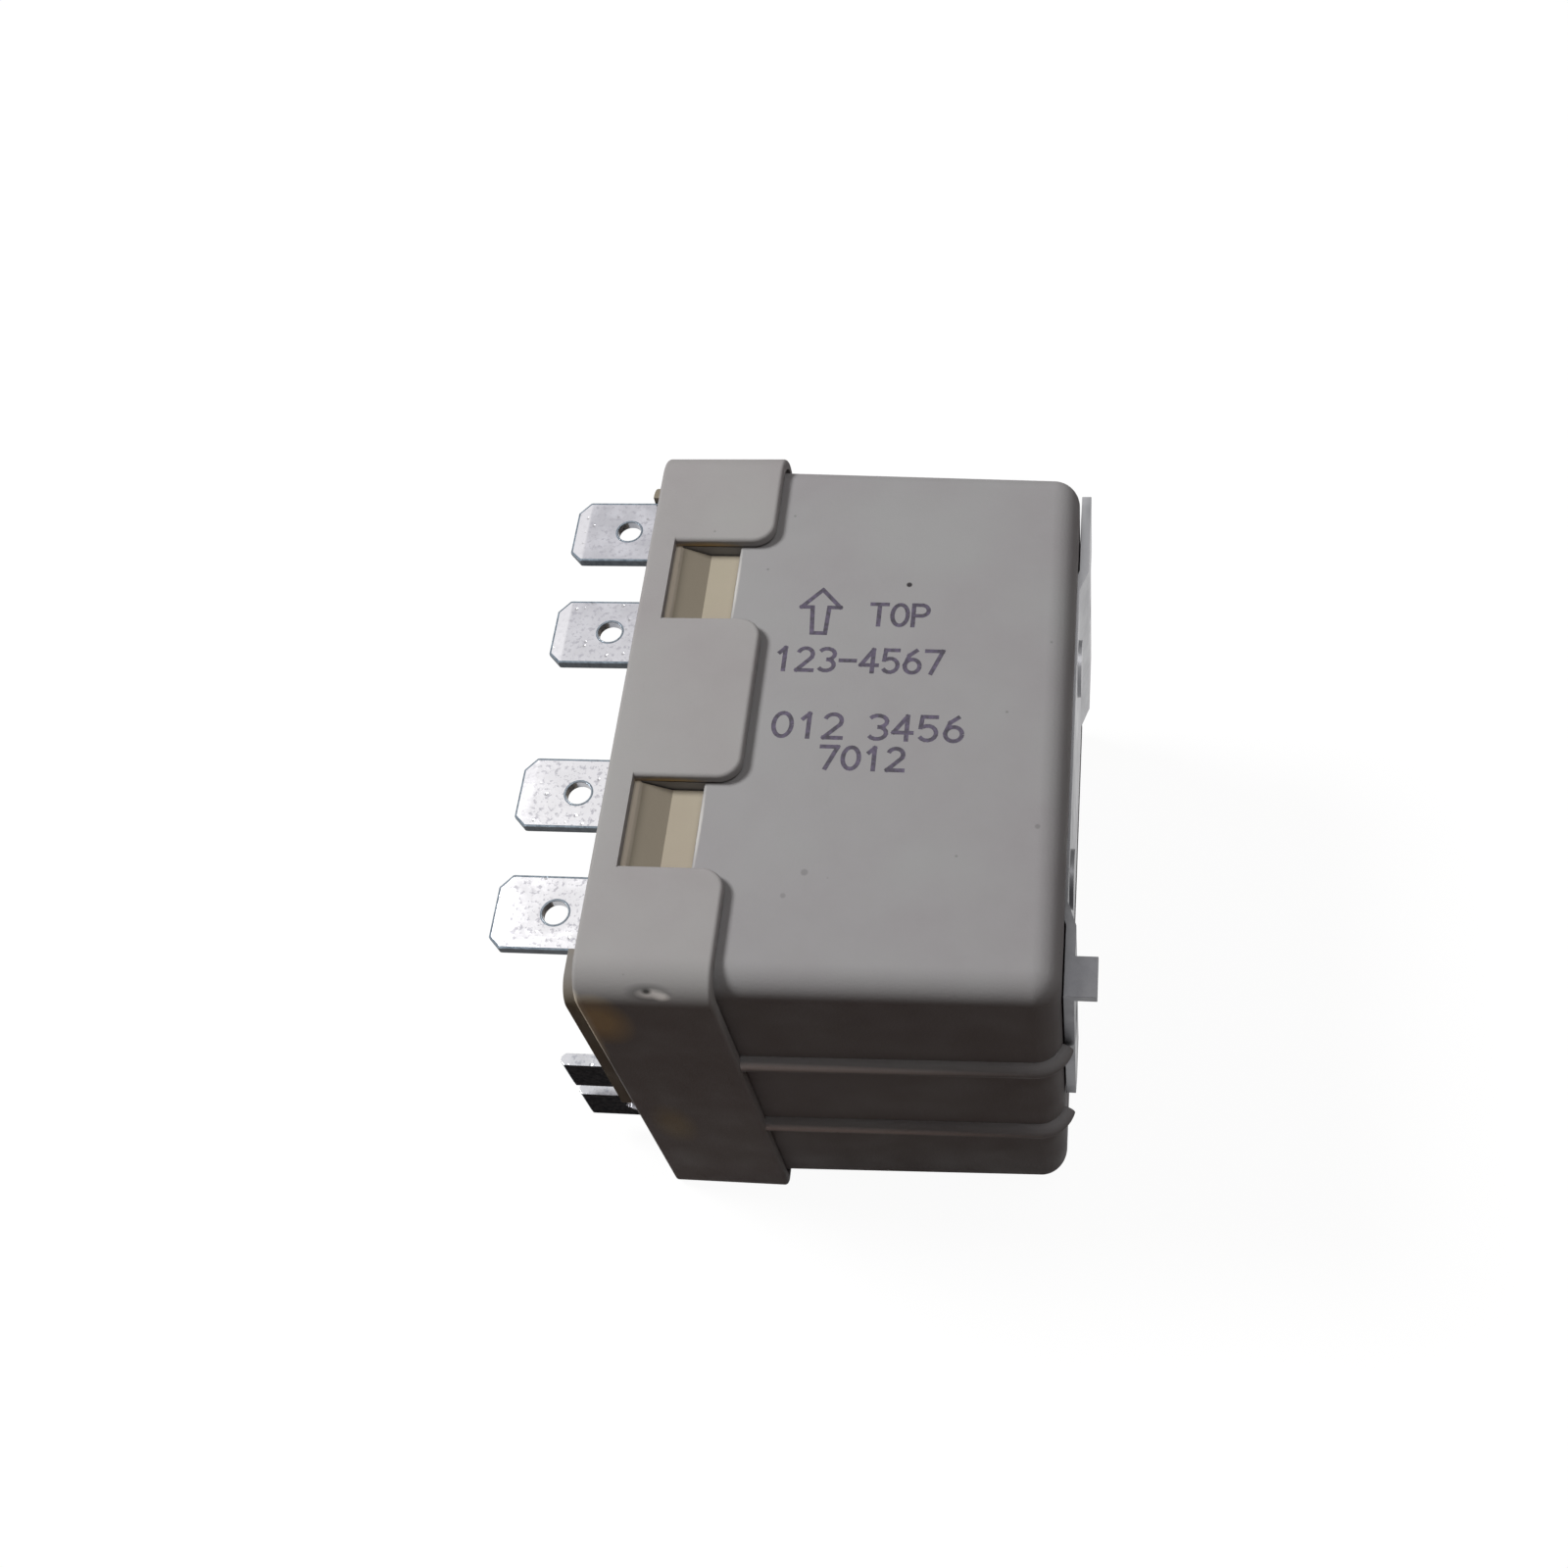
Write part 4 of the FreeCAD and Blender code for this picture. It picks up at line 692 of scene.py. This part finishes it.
def glyph(letter, w, h):
    """Strokes of one plain letter or digit in a box w wide and h tall."""
    oval = [arc(w / 2, h / 2, w * 0.50, h / 2, 0, 360, 24)]
    shapes = {
        "T": lines((0, h), (w, h)) + lines((w / 2, h), (w / 2, 0)),
        "O": oval,
        "P": lines((0, 0), (0, h), (w * 0.5, h)) + lines((w * 0.5, h * 0.48), (0, h * 0.48))
        + [arc(w * 0.5, h * 0.74, w * 0.46, h * 0.26, 90, -90, 10)],
        "0": oval,
        "1": lines((w * 0.22, h * 0.78), (w * 0.55, h), (w * 0.55, 0)),
        "2": [arc(w / 2, h * 0.72, w * 0.46, h * 0.28, 165, -35, 12)]
        + lines((w * 0.88, h * 0.56), (w * 0.04, 0), (w, 0)),
        "3": [arc(w / 2, h * 0.75, w / 2, h * 0.25, 150, -90, 10),
              arc(w / 2, h * 0.26, w / 2, h * 0.26, 90, -150, 10)],
        "4": lines((w * 0.72, 0), (w * 0.72, h), (0, h * 0.30), (w, h * 0.30)),
        "5": lines((w * 0.92, h), (w * 0.14, h), (w * 0.08, h * 0.54))
        + [arc(w * 0.46, h * 0.31, w * 0.48, h * 0.31, 125, -150, 12)],
        "6": [arc(w / 2, h * 0.30, w * 0.46, h * 0.30, 0, 360, 20)]
        + lines((w * 0.05, h * 0.36), (w * 0.28, h * 0.78), (w * 0.70, h)),
        "7": lines((0, h), (w, h), (w * 0.35, 0)),
        "-": lines((w * 0.05, h * 0.48), (w * 0.95, h * 0.48)),
    }
    return shapes[letter]


class RELAY_OT_print(bpy.types.Operator):
    """Print an arrow, the word TOP and rows of plain numbers on the big face"""
    bl_idname = "relay.print"
    bl_label = "Print"

    def execute(self, context):
        sizes = context.scene.relay_sizes
        solid = bmesh.new()
        solid.from_mesh(frame["nodes"]["housing"].data)
        face = BVHTree.FromBMesh(solid)
        solid.free()

        def draw(runs, x=0.0, y=0.0):
            for points in runs:
                places = [((x + across) * MM, (y + up) * MM) for across, up in points]
                stroke(bm, places, sizes.line_width, sizes.ink_height, face)

        bm = bmesh.new()
        draw(lines(*ARROW, ARROW[0]))
        for word, x, y, wide, tall, pitch in ROWS:
            for index, letter in enumerate(word):
                draw(glyph(letter, wide, tall), x + index * pitch, y)
        settle(bm, "printed_mark", "ink", closed=False)
        return {"FINISHED"}


# Stage: lamps with place, size, power and colour, then the room, the floor and the camera
LAMP_AIM = Vector((0.0, 0.0, 0.03))
SOFT_LAMP = {"place": (-0.40, 0.10, 0.56), "size": 0.20, "power": 4.55, "colour": (1.0, 0.995, 0.99)}
OVERHEAD = {"place": (0.26, 0.05, 0.70), "size": 0.5, "power": 1.75, "colour": (0.99, 0.985, 0.985)}
ROOM_COLOUR = (1.0, 0.70, 0.61, 1.0)
ROOM_STRENGTH = 0.050
FLOOR_HALF = 2.0
FLOOR_BOUNCE = (0.084, 0.059, 0.051, 1.0)
FLOOR_GLOW_LOSS = 0.85
WHITE = (1.0, 1.0, 1.0, 1.0)
CAMERA_PLACE = (0.024307, -0.078804, 0.160894)
CAMERA_TURN = (31.11839, 5.59506, 4.88116)
CAMERA_LENS = 42.634
CAMERA_SHIFT = -0.0625


class RELAY_OT_stage(bpy.types.Operator):
    """Set the pale floor, the lamps, the room light and the camera"""
    bl_idname = "relay.stage"
    bl_label = "Stage"

    def execute(self, context):
        scene = context.scene
        self.lay_floor(scene)
        lamp = self.hang_lamp(scene, "soft_lamp", SOFT_LAMP)
        lamp.rotation_euler = (LAMP_AIM - lamp.location).to_track_quat("-Z", "Y").to_euler()
        self.hang_lamp(scene, "overhead", OVERHEAD)
        self.light_room(scene)
        self.set_camera(scene)
        scene.view_settings.view_transform = "Standard"
        return {"FINISHED"}

    @staticmethod
    def seen(tree):
        """1 for what the camera sees, directly, in metal or through glass."""
        path = tree.nodes.new("ShaderNodeLightPath")
        share = path.outputs["Is Camera Ray"]
        for name in ("Is Glossy Ray", "Is Transmission Ray"):
            most = tree.nodes.new("ShaderNodeMath")
            most.operation = "MAXIMUM"
            tree.links.new(share, most.inputs[0])
            tree.links.new(path.outputs[name], most.inputs[1])
            share = most.outputs[0]
        return share

    def choose(self, tree, unseen, seen, kind):
        """Output one shader for what is seen and another for the light that it gives."""
        choice = tree.nodes.new("ShaderNodeMixShader")
        tree.links.new(self.seen(tree), choice.inputs[0])
        tree.links.new(unseen.outputs[0], choice.inputs[1])
        tree.links.new(seen.outputs[0], choice.inputs[2])
        out = tree.nodes.new(kind)
        tree.links.new(choice.outputs[0], out.inputs["Surface"])

    def lay_floor(self, scene):
        """Floor that shows white with the object's shadow and gives back little light."""
        bm = bmesh.new()
        bmesh.ops.create_grid(bm, x_segments=1, y_segments=1, size=FLOOR_HALF)
        mesh = bpy.data.meshes.new("floor")
        bm.to_mesh(mesh)
        bm.free()
        floor = bpy.data.objects.new("floor", mesh)
        scene.collection.objects.link(floor)
        material = bpy.data.materials.new("pale_floor")
        material.use_nodes = True
        tree = material.node_tree
        tree.nodes.clear()
        keep = scene.relay_colours.floor
        lit = tree.nodes.new("ShaderNodeBsdfDiffuse")
        lit.inputs["Color"].default_value = (keep, keep, keep, 1.0)
        glow = tree.nodes.new("ShaderNodeEmission")
        glow.inputs["Strength"].default_value = 1.0 - keep * FLOOR_GLOW_LOSS
        both = tree.nodes.new("ShaderNodeAddShader")
        tree.links.new(lit.outputs[0], both.inputs[0])
        tree.links.new(glow.outputs[0], both.inputs[1])
        bounce = tree.nodes.new("ShaderNodeBsdfDiffuse")
        bounce.inputs["Color"].default_value = FLOOR_BOUNCE
        self.choose(tree, bounce, both, "ShaderNodeOutputMaterial")
        mesh.materials.append(material)

    @staticmethod
    def hang_lamp(scene, name, facts):
        """Round soft lamp that shines straight down until it is turned."""
        lamp = bpy.data.lights.new(name, "AREA")
        lamp.shape = "DISK"
        lamp.size = facts["size"]
        lamp.energy = facts["power"]
        lamp.color = facts["colour"]
        holder = bpy.data.objects.new(name, lamp)
        holder.location = facts["place"]
        scene.collection.objects.link(holder)
        return holder

    def light_room(self, scene):
        """Dim warm room round a background that shows plain white."""
        world = bpy.data.worlds.new("room")
        scene.world = world
        world.use_nodes = True
        tree = world.node_tree
        tree.nodes.clear()
        dim = tree.nodes.new("ShaderNodeBackground")
        dim.inputs["Color"].default_value = ROOM_COLOUR
        dim.inputs["Strength"].default_value = ROOM_STRENGTH
        white = tree.nodes.new("ShaderNodeBackground")
        white.inputs["Color"].default_value = WHITE
        white.inputs["Strength"].default_value = 1.0
        self.choose(tree, dim, white, "ShaderNodeOutputWorld")

    @staticmethod
    def set_camera(scene):
        """Camera as fitted to the photograph's edges."""
        data = bpy.data.cameras.new("camera")
        data.lens = CAMERA_LENS
        data.sensor_width = 36.0
        data.shift_x = CAMERA_SHIFT
        data.clip_start = 0.01
        data.clip_end = 20.0
        camera = bpy.data.objects.new("camera", data)
        camera.location = CAMERA_PLACE
        camera.rotation_euler = Euler([math.radians(turn) for turn in CAMERA_TURN])
        scene.collection.objects.link(camera)
        scene.camera = camera


# Panel and registration
class RELAY_PT_panel(bpy.types.Panel):
    """Steps and settings of the relay's dressing"""
    bl_idname = "RELAY_PT_panel"
    bl_label = "Start Relay"
    bl_space_type = "VIEW_3D"
    bl_region_type = "UI"
    bl_category = "Start Relay"

    def draw(self, context):
        for step in STEPS:
            self.layout.operator(step.bl_idname)
        scene = context.scene
        for group, owner in ((scene.relay_colours, RelayColours), (scene.relay_sizes, RelaySizes)):
            for name in owner.__annotations__:
                self.layout.prop(group, name)


STEPS = (RELAY_OT_finishes, RELAY_OT_mouldings, RELAY_OT_blades, RELAY_OT_plate, RELAY_OT_print,
         RELAY_OT_stage)
CLASSES = (RelayColours, RelaySizes) + STEPS + (RELAY_PT_panel,)


def register():
    for item in CLASSES:
        bpy.utils.register_class(item)
    bpy.types.Scene.relay_colours = bpy.props.PointerProperty(type=RelayColours)
    bpy.types.Scene.relay_sizes = bpy.props.PointerProperty(type=RelaySizes)


def unregister():
    del bpy.types.Scene.relay_sizes
    del bpy.types.Scene.relay_colours
    for item in reversed(CLASSES):
        bpy.utils.unregister_class(item)


def main():
    register()
    bpy.ops.relay.finishes()
    bpy.ops.relay.mouldings()
    bpy.ops.relay.blades()
    bpy.ops.relay.plate()
    bpy.ops.relay.print()
    bpy.ops.relay.stage()


if __name__ == "__main__":
    main()
